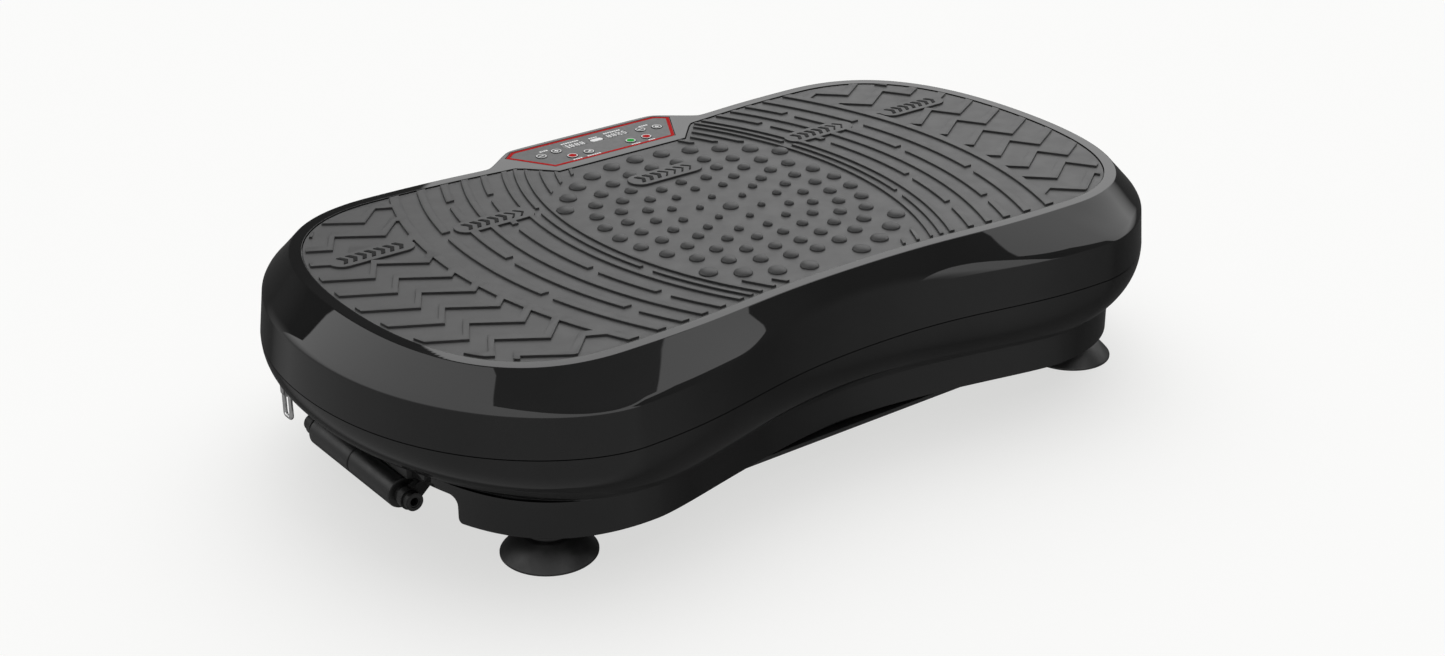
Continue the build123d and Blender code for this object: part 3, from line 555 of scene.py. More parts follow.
def top_cover(material):
    """Gloss upper cover: wall, bevel with its soft roll, flat ring, and beds for the mat and the panel."""
    shape = Shape()
    seam = level(SEAM, POD_SEAM, SEAM_Z)
    shoulder = level(SHOULDER, POD_SHOULDER, SHOULDER_Z)
    rim = level(RING, POD_RING, RING_Z)
    flat = level(RING, POD_RING, RING_Z, 6)
    seam[:, 2] += SEAM_GAP
    tuck = level(SEAM, POD_SEAM, SEAM_Z + SEAM_GAP, SEAM_DEPTH)
    step = [level(SEAM, POD_SEAM, SEAM_Z, SEAM_DEPTH), tuck]
    edge = step + eased(tuck, seam, shoulder, 0.25, 2)
    roll = rolled(rim, shoulder)[::-1]
    crease = eased(edge[-1], shoulder, roll[1], 0.7, 3)
    crest = eased(roll[-1], rim, flat, 0.5, 3)
    outside = edge + between(edge[-1], crease[0], 2) + crease + roll[2:]
    outside += between(roll[-1], crest[0], 4) + crest
    rings = shape.stack(outside)

    mat = shape.sleeve(mat_loop, [(0.6, RING_Z), (0.42, RING_Z - 0.06), (0.35, RING_Z - 0.25),
                                  (0.35, MAT_LOW_Z)])
    panel = shape.sleeve(panel_loop, [(0.6, RING_Z), (0.35, RING_Z - 0.08), (0.25, RING_Z - 0.3),
                                      (0.25, PANEL_LOW_Z)])
    shape.fill(rings[-1], mat[0], panel[0])
    shape.fill(mat[-1])
    wells = []
    for place in key_places():
        well = circle_loop(place.x, place.y, KEY_RADIUS + 1.3)
        upper, lower = shape.ring(well, PANEL_LOW_Z), shape.ring(well, PANEL_LOW_Z - 1.3)
        shape.band(lower, upper)
        shape.fill(lower)
        wells.append(upper)
    shape.fill(panel[-1], *wells)

    roof_share = (ROOF_Z - SHOULDER_Z) / (RING_Z - SHOULDER_Z)
    roof, pod_roof = mix(SHOULDER, RING, roof_share), mix(POD_SHOULDER, POD_RING, roof_share)
    inside = shape.stack([level(SEAM, POD_SEAM, SEAM_Z, WALL),
                          level(SHOULDER, POD_SHOULDER, SHOULDER_Z - 1, WALL),
                          level(roof, pod_roof, ROOF_Z, WALL + 1)])
    shape.band(rings[0], inside[0])
    shape.fill(inside[-1])
    piece("top_cover_shell", shape, "platform", [material], "cover_black", "top_cover")


def lower_level(z, inset=0):
    """Loop of the bulge under the seam at one height."""
    share = ((SEAM_Z - z) / (SEAM_Z - SHELL_FOOT_Z)) ** 2.3
    outline = shrunk(mix(SEAM, SHELL_FOOT, share), inset)
    if z >= POD_MID_Z:
        pod = mix(POD_SEAM, POD_MID, (SEAM_Z - z) / (SEAM_Z - POD_MID_Z))
    else:
        pod = mix(POD_MID, POD_FOOT, (POD_MID_Z - z) / (POD_MID_Z - SHELL_FOOT_Z))
    return level(outline, pod_shrunk(pod, inset), z)


def skirt_level(z, inset=0):
    return ring_at(waisted_radius(shrunk(SKIRT, inset), ANGLES), z)


def lower_cover(material):
    """Gloss lower cover: the bulge under the seam, the straight skirt, and the openings in it."""
    shape = Shape()
    heights = np.linspace(SEAM_Z, SHELL_FOOT_Z, SEAM_HEIGHT_LOOPS + 1)
    outside = [lower_level(z) for z in heights]
    outside[0][:, 2] -= SEAM_GAP
    tuck_in = lower_level(SEAM_Z, SEAM_DEPTH)
    tuck_in[:, 2] -= SEAM_GAP
    edge = [lower_level(SEAM_Z, SEAM_DEPTH), tuck_in] + eased(tuck_in, outside[0], outside[1], 0.25, 2)
    tuck = skirt_level(SHELL_FOOT_Z)
    foot = eased(outside[-2], outside[-1], tuck, 1.2, 3)
    wall_low, wall_in = skirt_level(SKIRT_Z), skirt_level(SKIRT_Z, WALL)
    hem = eased(tuck, wall_low, wall_in, 0.8, 3)
    rings = shape.stack(edge + outside[1:-1] + foot + [tuck] + between(tuck, hem[0], 3) + hem)
    inner = [lower_level(SEAM_Z, WALL)] + [lower_level(z, WALL) for z in heights[1:-2]]
    inside = shape.stack(inner + [skirt_level(SHELL_FOOT_Z + 4, WALL), wall_in])
    shape.band(rings[0], inside[0])
    shape.band(rings[-1], inside[-1])
    thing = piece("lower_cover_shell", shape, "platform", [material], "cover_black", "lower_cover")
    for side, notch in ((-1, LEFT_NOTCH), (1, RIGHT_NOTCH)):
        arch = opening_arch(*notch)
        cut(thing, Shape().bar(lambda x: [(x, y, z) for y, z in arch], side * 200, side * 330))
    for node, _, _, half_x, half_z in SERVICE_BOSSES:
        hole = upright_box(node, half_x, half_z)
        cut(thing, Shape().bar(lambda y: [(x, y, z) for x, z in hole], 110, 170))


def upright_box(node, half_x, half_z, corner=0):
    """Outline in X and Z about the middle of a CAD node."""
    place = centre_of(node)
    return box_loop(place.x - half_x, place.x + half_x, place.z - half_z, place.z + half_z, corner)


def service_bosses(material):
    """Raised frames on the panel side that the inlet and the switch snap into."""
    shape = Shape()
    face_y = high_of("switch_housing").y - 1.5
    for node, half_x, half_z, hole_x, hole_z in SERVICE_BOSSES:
        outer, hole = upright_box(node, half_x, half_z, 3), upright_box(node, hole_x, hole_z)
        walls = [(outer, 0, 134), (outer, 0, face_y - 0.8), (outer, -0.25, face_y - 0.25),
                 (outer, -0.8, face_y), (hole, 0, face_y), (hole, 0, 134)]
        rings = [shape.ring([(x, y, z) for x, z in offset(loop, grow)]) for loop, grow, y in walls]
        for group in (rings[:4], rings[4:]):
            for lower, upper in zip(group, group[1:]):
                shape.band(lower, upper)
        shape.fill(rings[3], rings[4])
        shape.fill(rings[0], rings[5])
    piece("lower_cover_service_bosses", shape, "platform", [material], "cover_black")


def opening_arch(low, high, top):
    """Outline in Y and Z of an opening in the skirt, with rounded upper corners and eased feet."""
    ease, corner = NOTCH_EASE, NOTCH_CORNER
    half = [(low - ease, SKIRT_Z - 30), (low - ease, SKIRT_Z)]
    half += arc(low - ease, SKIRT_Z + ease, ease, -90, 0)
    half += arc(low + corner, top - corner, corner, 180, 90)
    return half + [(low + high - y, z) for y, z in reversed(half)]


def roller_hood(material):
    """Saddle behind the roller, under the end of the lower cover."""
    low, high = ends_of("transport_roller")
    middle, radius = centre_of("transport_roller"), (high.x - low.x) / 2 + 0.8
    front, back, top = middle.x + 1.5, middle.x + 12, SHELL_FOOT_Z + 8
    start, end = (math.degrees(math.acos((x - middle.x) / (radius + 0.9))) for x in (back, front))
    section = arc(middle.x, middle.z, radius, start, end, 14) + [(front, top), (back, top)]
    reach = low_of("roller_bracket_rear").y - 1
    shape = Shape().bar(lambda y: [(x, y, z) for x, z in section], -reach, reach)
    piece("lower_cover_roller_hood", shape, "platform", [material], "cover_black")


def screw_bosses(material):
    """Tubes inside the lower cover that the cover screws pass through."""
    shape = Shape()
    low, high, outer, inner = SHELL_FOOT_Z + 6, SEAM_Z - 0.2, 5, 3.4
    pipe = [(inner, low), (outer, low), (outer, high), (inner, high), (inner, low)]
    for x, y in COVER_SCREWS:
        for place in ((x, y, 0), (x, -y, 0), (-x, y, 0), (-x, -y, 0)):
            shape.turned(pipe, place, steps=28)
    piece("lower_cover_bosses", shape, "platform", [material], "cover_black")


# ---- mat
def rib_loop(inner, outer, low, high, side):
    """Curved bar between two heights, seen from above."""
    middle = (inner + outer) / 2
    centre = middle - RIB_RADIUS_AT_112 - RIB_RADIUS_GROWTH * (middle - 112)
    steps = max(4, int((high - low) / 5))
    heights = [low + (high - low) * k / steps for k in range(steps + 1)]
    loop = [(centre + math.sqrt((outer - centre) ** 2 - y * y), y) for y in heights]
    loop += [(centre + math.sqrt((inner - centre) ** 2 - y * y), y) for y in reversed(heights)]
    return [(side * x, y) for x, y in loop]


def rib_spans(gaps):
    """The lengths of a rib between its gaps."""
    stops = [-RIB_END] + [stop for gap in gaps for stop in gap] + [RIB_END]
    return list(zip(stops[::2], stops[1::2]))


def chevron_loop(row, side):
    lower = [(side * x, y + row * CHEVRON_PITCH) for x, y in CHEVRON_PATH]
    return lower + [(x, y + CHEVRON_RISE) for x, y in reversed(lower)]


def pill_loop(x):
    half, tall = PILL_SIZE[0] / 2, PILL_SIZE[1] / 2
    return box_loop(x - half, x + half, PILL_Y - tall, PILL_Y + tall, tall - 0.1, 10)


def pills():
    """Middle and number of bold strokes of each tag, on both sides of the mat."""
    return [(side * x, bold) for x, bold in PILLS for side in ((1, -1) if x else (1,))]


def pattern_loops():
    """Border loops of every raised bar, chevron and tag on the mat."""
    zones, short, chevrons, full = [], [], [], []
    for side in (1, -1):
        zones.append(inner_zone(side))
        chevrons += [chevron_loop(row, side) for row in range(-6, 7)]
        short += [rib_loop(inner, outer, -RIB_END, RIB_END, side) for inner, outer in SHORT_RIBS]
        for inner, outer, gaps in RIBS:
            full += [rib_loop(inner, outer, low, high, side) for low, high in rib_spans(gaps)]
    full += [pill_loop(x) for x, _ in pills()]
    kinds = {
        "window": [waisted_loop(shrunk(MAT, PATTERN_MARGIN))],
        "notch": [notch_loop(-PATTERN_MARGIN)],
        "middle": [circle_loop(0, DOT_CENTRE_Y, CLEAR_RADIUS, 120)],
        "zone": zones, "short": short, "chevron": chevrons, "full": full,
    }
    kind_of = [kind for kind, outlines in kinds.items() for _ in outlines]

    def solid(owners):
        over = {kind_of[k] for k in owners}
        if "window" not in over or "notch" in over:
            return False
        if "full" in over:
            return True
        if "chevron" in over:
            return "zone" not in over
        return "short" in over and "middle" not in over

    found = regions([outline for outlines in kinds.values() for outline in outlines], solid)
    kept = [[thinned(loop) for loop in loops if abs(signed_area(loop)) > SMALLEST_HOLE] for loops in found]
    return [loops for loops in kept if loops]


def inner_zone(side):
    """Everything between the middle of the mat and the last curved rib, where no chevron runs."""
    inner, outer, _ = RIBS[-1]
    edge = rib_loop(inner, outer, -RIB_END, RIB_END, side)
    near_edge = edge[len(edge) // 2:]
    return near_edge + [(0, near_edge[-1][1]), (0, near_edge[0][1])]


def dot_places():
    """Middle and radius of each dome: rings of them round the middle of the mat."""
    places = [(0, DOT_CENTRE_Y, CENTRE_DOT_RADIUS)]
    for ring, count, radius in DOT_RINGS:
        for step in range(count):
            angle = math.radians(-90 + 360 * step / count)
            places.append((ring * math.cos(angle), DOT_CENTRE_Y + ring * math.sin(angle), radius))
    return [place for place in places if dot_fits(*place)]


def dot_fits(x, y, radius):
    """Whether a dome clears the middle tag, the mat's borders and the first rib."""
    reach_x, reach_y = (size / 2 + radius * 0.4 for size in PILL_SIZE)
    on_pill = abs(x) < reach_x and abs(y - PILL_Y) < reach_y
    low, high = -MAT[0] + radius + 5, NOTCH[1][1] - radius - 4
    rib_x = RIBS[0][0] - RIB_RADIUS_AT_112 + math.sqrt(RIB_RADIUS_AT_112 ** 2 - y * y)
    return not on_pill and low < y < high and abs(x) + radius < rib_x - 1


def deck_mat(material):
    """Rubber mat: a slab with raised ribs, chevrons and tags, and domes in the middle."""
    shape = Shape()
    shape.prism([mat_loop()], [(-0.3, MAT_LOW_Z), (0, MAT_LOW_Z + 0.3), (0, MAT_FLOOR_Z - 0.5),
                               (-0.15, MAT_FLOOR_Z - 0.15), (-0.5, MAT_FLOOR_Z)])
    for loops in pattern_loops():
        shape.prism(loops, [(0.05, MAT_FLOOR_Z - 0.4), (0.05, MAT_FLOOR_Z), (0, RIB_TOP_Z - 0.2),
                            (-0.06, RIB_TOP_Z - 0.06), (-0.2, RIB_TOP_Z)])
    tall = DOT_TOP_Z - MAT_FLOOR_Z + DOT_CROWN
    for x, y, radius in dot_places():
        dome = [(0, -0.4), (radius, -0.4), (radius, 0)]
        dome += [(radius * (1 - (k / 8) ** 2.6) ** 0.55, tall * k / 8) for k in range(1, 9)]
        shape.turned(dome, (x, y, MAT_FLOOR_Z), steps=28)
    piece("deck_mat_ribbed", shape, "platform", [material], "mat_rubber", "deck_mat", sharp=50)


def pace_marks(material):
    """A row of plain arrow strokes on each tag, more of them bold for a faster pace."""
    shape = Shape()
    for x, bold in pills():
        for k in range(PACE_STROKES):
            middle = x + (k - (PACE_STROKES - 1) / 2) * PACE_PITCH
            shape.prism([arrow_loop(middle, PILL_Y, 3.2 if k < bold else 1.8)],
                        [(0, RIB_TOP_Z - 0.1), (0, RIB_TOP_Z + 0.3), (-0.1, RIB_TOP_Z + 0.4)])
    piece("pace_marks", shape, "platform", [material], "mat_rubber")


def arrow_loop(x, y, stroke):
    reach, tall = 3.1, 5.6
    back, front = x - reach, x + reach - stroke
    return [(back, y - tall), (back + stroke, y - tall), (front + stroke, y), (back + stroke, y + tall),
            (back, y + tall), (front, y)]


# ---- panel
def node_rectangle(node, grow=0, corner=0):
    low, high = ends_of(node)
    return box_loop(low.x - grow, high.x + grow, low.y - grow, high.y + grow, corner)


def panel_film(material):
    """Panel film with openings for the keys, the displays and the receiver window."""
    shape = Shape()
    openings = [circle_loop(place.x, place.y, KEY_RADIUS + 0.12, 40) for place in key_places()]
    openings += [node_rectangle(node, 0.05) for node in DISPLAYS + ("remote_window",)]
    shape.prism([panel_loop()] + [loop[::-1] for loop in openings],
                [(0, PANEL_LOW_Z), (0, PANEL_Z - 0.2), (-0.2, PANEL_Z)])
    piece("panel_film", shape, "platform", [material], "panel_grey", "panel_overlay")


def printed(shape, outer, *holes, z=PANEL_Z):
    """Thin flat ink over an outline, with holes in it."""
    shape.prism([outer] + [loop[::-1] for loop in holes], [(0, z - INK), (0, z + INK)])


def caption(shape, x, y, widths, tall=2.1, gap=0.5):
    """Row of short dashes in place of words."""
    start = x - (sum(widths) + gap * (len(widths) - 1)) / 2
    for width in widths:
        printed(shape, box_loop(start, start + width, y - tall / 2, y + tall / 2))
        start += width + gap


def panel_print(red, white):
    """Red border, and white dashes below the big keys and above the small keys and the displays."""
    border = Shape()
    printed(border, panel_loop(-0.4), panel_loop(-3))
    piece("panel_border", border, "platform", [red], "panel_grey")
    words = Shape()
    for key, dashes in (("power", 4), ("program", 6), ("start", 4), ("stop", 3)):
        place = centre_of("button_" + key)
        caption(words, place.x, place.y - 7.3, [WORD] * dashes)
    for pair, widths in (("time", (WORD, WORD / 2, WORD, WORD)), ("speed", [WORD] * 4)):
        middle = (centre_of("button_%s_down" % pair) + centre_of("button_%s_up" % pair)) / 2
        caption(words, middle.x, middle.y + 7.4, widths)
    for node in DISPLAYS + ("remote_window",):
        low, high = ends_of(node)
        caption(words, (low.x + high.x) / 2, high.y + 2.4, [1.5] * int((high.x - low.x) / 2.3))
    piece("panel_captions", words, "platform", [white], "panel_grey")


def segment_loops(x, y, wide, tall, stroke, lit):
    """Seven-bar digit, its lower left corner at x, y."""
    middle, top, right = y + tall / 2, y + tall, x + wide
    sides = {
        "a": (x, right, top - stroke, top), "b": (right - stroke, right, middle, top),
        "c": (right - stroke, right, y, middle), "d": (x, right, y, y + stroke),
        "e": (x, x + stroke, y, middle), "f": (x, x + stroke, middle, top),
        "g": (x, right, middle - stroke / 2, middle + stroke / 2),
    }
    return [box_loop(*sides[name]) for name in lit]


def display(node, digits, glass, white):
    """Dark window with white digits behind its face."""
    low, high = ends_of(node)
    shape = Shape()
    shape.prism([node_rectangle(node, 0, 0.4)],
                [(0, PANEL_LOW_Z), (0, PANEL_Z - 0.15), (-0.12, PANEL_Z)])
    shape.paint = 1
    pitch = (high.x - low.x) / len(digits)
    wide, tall, stroke = pitch * 0.6, high.y - low.y - 1, 0.95
    for k, digit in enumerate(digits):
        left = low.x + pitch * (k + 0.22)
        for loop in segment_loops(left, low.y + 0.5, wide, tall, stroke, SEGMENTS[digit]):
            printed(shape, loop)
    piece(node + "_glass", shape, "platform", [glass, white], "display_dark", node)


def remote_window(white):
    shape = Shape()
    low, high = ends_of("remote_window")
    loop = node_rectangle("remote_window", -0.05, (high.y - low.y) / 2 - 0.1)
    shape.prism([loop], [(0, PANEL_LOW_Z), (0, PANEL_Z), (-0.15, PANEL_Z + 0.15),
                         (-0.4, PANEL_Z + 0.22)])
    piece("remote_window_lens", shape, "platform", [white], "window_white", "remote_window")


def key(name, cap, white, centre, slot, symbol):
    """Soft key: domed cap with a printed ring, and a coloured centre or a line symbol."""
    node = "button_" + name
    x, y = centre_of(node).xy
    low, high = low_of(node).z, high_of(node).z
    rim, edge, ring = KEY_RADIUS + 1, KEY_RADIUS - 0.36, KEY_RADIUS - 0.36 - KEY_RING
    shape = Shape()
    shape.turned([(0, low), (rim, low), (rim, low + 0.6), (KEY_RADIUS, low + 0.6), (KEY_RADIUS, high - 0.3),
                  (KEY_RADIUS - 0.1, high - 0.1), (KEY_RADIUS - 0.35, high), (0, high)],
                 (x, y, 0), steps=48)
    shape.paint = 1
    printed(shape, circle_loop(x, y, edge), circle_loop(x, y, ring), z=high)
    if symbol:
        for loop in symbol(x, y):
            printed(shape, loop, z=high)
    if centre is not cap:
        shape.paint = 2
        printed(shape, circle_loop(x, y, ring - 0.15), z=high)
    piece("key_" + name, shape, "key_" + name, [cap, white, centre], slot, node)


def minus(x, y):
    return [box_loop(x - 1.9, x + 1.9, y - 0.55, y + 0.55)]


def plus(x, y):
    a, b = 1.9, 0.55
    corners = ((-a, -b), (-b, -b), (-b, -a), (b, -a), (b, -b), (a, -b))
    return [[(x + u, y + v) for u, v in corners] + [(x - u, y - v) for u, v in corners]]


def bars(x, y):
    return [box_loop(x - 1.8 + 1.3 * k, x - 0.8 + 1.3 * k, y - 1.5, y - 0.5 + k) for k in range(3)]


# ---- feet, roller, rings
def suction_foot(node, material):
    """Rubber foot: a hollow cup with a thin lip, and a grooved neck above it."""
    low, high = ends_of(node)
    place = centre_of(node)
    radius, bore, top = (high.x - low.x) / 2, 4.1, high.z
    profile = [(bore, 11), (bore, 8.6), (16, 7), (27, 1.6), (29.3, 0.1), (30.2, 0),
               (radius - 0.3, 0), (radius, 0.3), (radius, 1.2), (radius - 0.3, 1.7)]
    for share in np.linspace(0.1, 1, 10):
        profile.append((radius - 0.3 - 13.4 * share, 1.7 + 12.2 * share + math.sin(math.pi * share)))
    profile += [(17.3, 14.6), (15.4, 15.1), (15, 15.5), (15.3, 16), (16.4, 16.4), (16.8, 16.9),
                (16.8, top - 0.4), (16.4, top), (bore, top), (bore, 11)]
    shape = Shape()
    shape.turned(profile, (place.x, place.y, 0), steps=96)
    piece(node + "_cup", shape, "base", [material], "foot_rubber", node)


def transport_roller(material):
    """Moulded roller with a raised grip and a collar at each end, open along its axle."""
    low, high = ends_of("transport_roller")
    place = centre_of("transport_roller")
    radius, end = (high.x - low.x) / 2, high.y
    body = end - 4
    half = [(radius - 0.8, 0), (radius - 0.8, 0.6), (radius - 0.25, 0.85), (radius, 1.3),
            (radius, body - 1.5), (radius - 0.4, body - 0.4), (radius - 1.5, body), (6.3, body),
            (6.3, end - 0.5), (5.8, end), (4.05, end)]
    profile = [(r, -y) for r, y in reversed(half[1:])] + half
    profile.append(profile[0])
    shape = Shape()
    shape.turned(profile, (place.x, 0, place.z), lying=True, steps=72)
    piece("transport_roller_grip", shape, "roller", [material], "roller_plastic", "transport_roller")


def band_ring(name, material):
    """Wire loop that a resistance band clips to."""
    node = "band_ring_" + name
    low, high = ends_of(node)
    wire = (high.x - low.x) / 2
    loop = box_loop(low.y + wire, high.y - wire, low.z + wire, high.z - wire, 2.2, 8)
    shape = Shape()
    shape.swept([((low.x + high.x) / 2, y, z) for y, z in loop], Vector((1, 0, 0)), wire)
    piece("band_ring_%s_wire" % name, shape, "ring_" + name, [material], "ring_chrome", node)


# ---- materials
def tint(red, green, blue):
    """Linear colour of screen levels from 0 to 255."""
    def linear(level):
        v = level / 255
        return v / 12.92 if v <= 0.04045 else ((v + 0.055) / 1.055) ** 2.4
    return (linear(red), linear(green), linear(blue), 1)


def grey(level):
    return tint(level, level, level)


def scaled(colour, share, lift=0):
    return tuple(min(1, c * share + lift) for c in colour[:3]) + (1,)


EVEN = (1, 1, 1)


class Finish:
    """A node material under construction: a Principled shader fed by procedural patterns.
    Scales are in cells per metre, and a stretch packs the cells closer along an axis."""

    def __init__(self, name):
        self.material = bpy.data.materials.new(name)
        self.material.use_nodes = True
        self.nodes = self.material.node_tree.nodes
        self.join = self.material.node_tree.links.new
        self.shader = self.nodes["Principled BSDF"]
        self.place = self.nodes.new("ShaderNodeTexCoord").outputs["Object"]

    def node(self, kind, **inputs):
        """New node. Each input, its spaces written as underscores, gets a value or a link."""
        made = self.nodes.new(kind)
        for name, value in inputs.items():
            self.feed(made.inputs[name.replace("_", " ")], value)
        return made

    def feed(self, socket, value):
        if isinstance(value, bpy.types.NodeSocket):
            self.join(value, socket)
        else:
            socket.default_value = value

    def noise(self, scale, detail=3, stretch=EVEN):
        place = self.node("ShaderNodeMapping", Scale=stretch, Vector=self.place).outputs["Vector"]
        return self.node("ShaderNodeTexNoise", Scale=scale, Detail=detail, Vector=place).outputs["Fac"]

    def cells(self, scale):
        return self.node("ShaderNodeTexVoronoi", Scale=scale, Vector=self.place).outputs["Distance"]

    def spread(self, source, low, high, start=0.3, end=0.7):
        """Maps a pattern onto a range of values."""
        limits = {"From_Min": start, "From_Max": end, "To_Min": low, "To_Max": high}
        return self.node("ShaderNodeMapRange", Value=source, **limits).outputs["Result"]

    def blend(self, share, first, second):
        mixer = self.nodes.new("ShaderNodeMix")
        mixer.data_type = "RGBA"
        for number, value in ((0, share), (6, first), (7, second)):
            self.feed(mixer.inputs[number], value)
        return mixer.outputs[2]

    def colour(self, base, drift, scale, detail=4, stretch=EVEN):
        """Base colour that drifts a little lighter and darker."""
        share = self.spread(self.noise(scale, detail, stretch), 0, 1)
        return self.blend(share, scaled(base, 1 - drift), scaled(base, 1 + drift))

    def worn(self, colour, worn_colour, strength):
        """Lighter rub marks where the mesh is convex."""
        convex = self.nodes.new("ShaderNodeNewGeometry").outputs["Pointiness"]
        return self.blend(self.spread(convex, 0, strength, 0.53, 0.62), colour, worn_colour)

    def paint(self, colour):
        self.join(colour, self.shader.inputs["Base Color"])

    def rough(self, low, high, scale, stretch=EVEN):
        self.join(self.spread(self.noise(scale, 3, stretch), low, high), self.shader.inputs["Roughness"])

    def bump(self, source, strength, depth_mm):
        bump = self.node("ShaderNodeBump", Strength=strength, Distance=depth_mm * MM, Height=source)
        self.join(bump.outputs["Normal"], self.shader.inputs["Normal"])

    def set(self, **values):
        for name, value in values.items():
            self.shader.inputs[name.replace("_", " ")].default_value = value
        return self.material


def finish(name, base, drift, rough, grain, rubbed=None, stretch=EVEN, **values):
    """Material with a drifting colour, rubbed edges, uneven roughness and a fine bump.
    drift is its share and scale, rough its low, high and scale, grain its scale, detail (0 for pebbles),
    strength and depth in millimetres, and rubbed its colour and strength."""
    f = Finish(name)
    colour = f.colour(base, *drift, stretch=stretch)
    f.paint(f.worn(colour, *rubbed) if rubbed else colour)
    f.rough(*rough, stretch=stretch)
    scale, detail, strength, depth = grain
    f.bump(f.noise(scale, detail, stretch) if detail else f.cells(scale), strength, depth)
    return f.set(**values)


def gloss_plastic():
    return finish("gloss_black_abs", grey(31), (0.12, 18), (0.012, 0.03, 35), (900, 2, 0.01, 0.01),
                  (grey(60), 0.15), IOR=1.5)


def satin_plastic(name, level, low, high):
    return finish(name, grey(level), (0.18, 40), (low, high, 90), (2600, 3, 0.15, 0.05),
                  (grey(70), 0.35), IOR=1.5)


def mat_rubber():
    return finish("mat_rubber_grey", grey(79), (0.06, 45, 5), (0.40, 0.50, 70), (1500, 0, 0.10, 0.06),
                  (grey(108), 0.5), IOR=1.45)


def mark_rubber():
    return finish("mat_mark_dark", grey(16), (0.12, 120), (0.6, 0.75, 120), (2000, 3, 0.1, 0.04),
                  Specular_IOR_Level=0.2)


def foot_rubber():
    return finish("foot_rubber_black", grey(30), (0.2, 90), (0.34, 0.48, 160), (1800, 4, 0.12, 0.06),
                  (grey(58), 0.4), IOR=1.5)


def film_grey():
    return finish("panel_film_grey", grey(84), (0.05, 250), (0.34, 0.42, 300), (5200, 2, 0.08, 0.03),
                  IOR=1.5)


def ink(name, colour):
    return finish(name, colour, (0.06, 400), (0.5, 0.6, 500), (5000, 3, 0.08, 0.02),
                  Specular_IOR_Level=0.03)


def glass_dark():
    return finish("display_glass", grey(70), (0.08, 200), (0.14, 0.2, 200), (3000, 3, 0.03, 0.02), IOR=1.5)


def coloured_plastic(name, colour, low, high):
    return finish(name, colour, (0.08, 200), (low, high, 300), (2500, 3, 0.08, 0.03),
                  (scaled(colour, 1.5, 0.02), 0.4), IOR=1.5)


def brushed_metal(name, base, low, high, stretch=EVEN):
    return finish(name, base, (0.10, 240), (low, high, 400), (1500, 3, 0.12, 0.03), (grey(235), 0.35),
                  stretch, Metallic=1)


def cast_metal():
    return finish("cast_metal_grey", grey(120), (0.15, 80), (0.42, 0.6, 150), (700, 0, 0.25, 0.12),
                  (grey(200), 0.5), Metallic=0.9)


def painted_steel():
    return finish("painted_steel_black", grey(28), (0.15, 50), (0.36, 0.48, 100), (1100, 3, 0.15, 0.05),
                  (grey(84), 0.3), Specular_IOR_Level=0.25)


def motor_paint():
    return finish("motor_grey_paint", tint(72, 76, 82), (0.12, 60), (0.4, 0.52, 120),
                  (900, 3, 0.15, 0.08), (grey(170), 0.4), IOR=1.5)


def circuit_board():
    f = Finish("circuit_board_green")
    tracks = f.spread(f.noise(700, 0, (1, 8, 1)), 0, 1, 0.48, 0.52)
    f.paint(f.blend(tracks, tint(16, 70, 38), tint(30, 104, 58)))
    f.rough(0.3, 0.42, 200)
    f.bump(tracks, 0.2, 0.05)
    return f.set(IOR=1.5)


def belt_rubber():
    f = Finish("belt_rubber")
    f.paint(f.worn(f.colour(grey(36), 0.2, 150), grey(80), 0.4))
    f.rough(0.55, 0.72, 250)
    f.bump(f.noise(900, 3, (1, 12, 1)), 0.3, 0.12)
    return f.set(IOR=1.45)


def slot_finishes():
    """One finished material for each material slot of the record that a CAD node keeps."""
    return {
        "painted_steel": painted_steel(),
        "zinc_steel": brushed_metal("zinc_plated_steel", grey(186), 0.22, 0.36, (1, 1, 14)),
        "motor_paint": motor_paint(),
        "belt_rubber": belt_rubber(),
        "cast_bearing": cast_metal(),
        "pulley_metal": brushed_metal("pulley_alloy", grey(168), 0.28, 0.4, (1, 10, 1)),
        "circuit_board": circuit_board(),
        "inlet_black": satin_plastic("inlet_black_nylon", 26, 0.3, 0.4),
        "rocker_red": coloured_plastic("rocker_red_plastic", tint(176, 22, 22), 0.3, 0.4),
    }


# ---- stage
FLOOR_WHITE = 0.36             # share of the light on the floor that it gives back
FLOOR_GLOW = 0.66              # its own light, which keeps the backdrop pale
FLOOR_HALF = 14                # metres


def studio_floor():
    mesh = bpy.data.meshes.new("studio_floor")
    corners = box_loop(-FLOOR_HALF, FLOOR_HALF, -FLOOR_HALF, FLOOR_HALF)
    mesh.from_pydata([(x, y, 0) for x, y in corners], [], [(0, 1, 2, 3)])
    floor = bpy.data.objects.new("studio_floor", mesh)
    bpy.context.scene.collection.objects.link(floor)
    f = Finish("studio_floor_white")
    f.paint(f.colour((FLOOR_WHITE, FLOOR_WHITE, FLOOR_WHITE * 0.995, 1), 0.004, 1.2))
    mesh.materials.append(f.set(Roughness=0.9, Specular_IOR_Level=0, Emission_Color=(1, 1, 0.99, 1),
                                Emission_Strength=FLOOR_GLOW))
    floor.visible_glossy = False


# What the gloss reflects: a bright band of softboxes right round the room, with one dark gap.
# Azimuths run anticlockwise from +X and heights up from the horizon, in degrees; levels are radiances.
BAND_LOW = 13
BAND_HIGH = 54
BAND_LEVEL = 1.75
GAP = (61, 112)
GAP_LEVEL = 0.05
CEILING_LEVEL = 0.27
GROUND_LEVEL = 0.45
GROUND_SHADE = (-50, 105, 20, 8)  # both ends, and how softly they fade
EDGE_SOFTNESS = 0.12
WINDOW = (-62, -29)
WINDOW_HIGH = 47
WINDOW_LEVEL = 0.15
TOP_LIGHT = (0.37, 0.46, 0.81)  # towards the main soft light for matt surfaces
TOP_LIGHT_LEVEL = 3.4
TOP_LIGHT_FOCUS = 4
BACKDROP_LEVEL = 0.85          # extra light that only the camera sees, past the floor's edge
AIR_LEVEL = 0.12


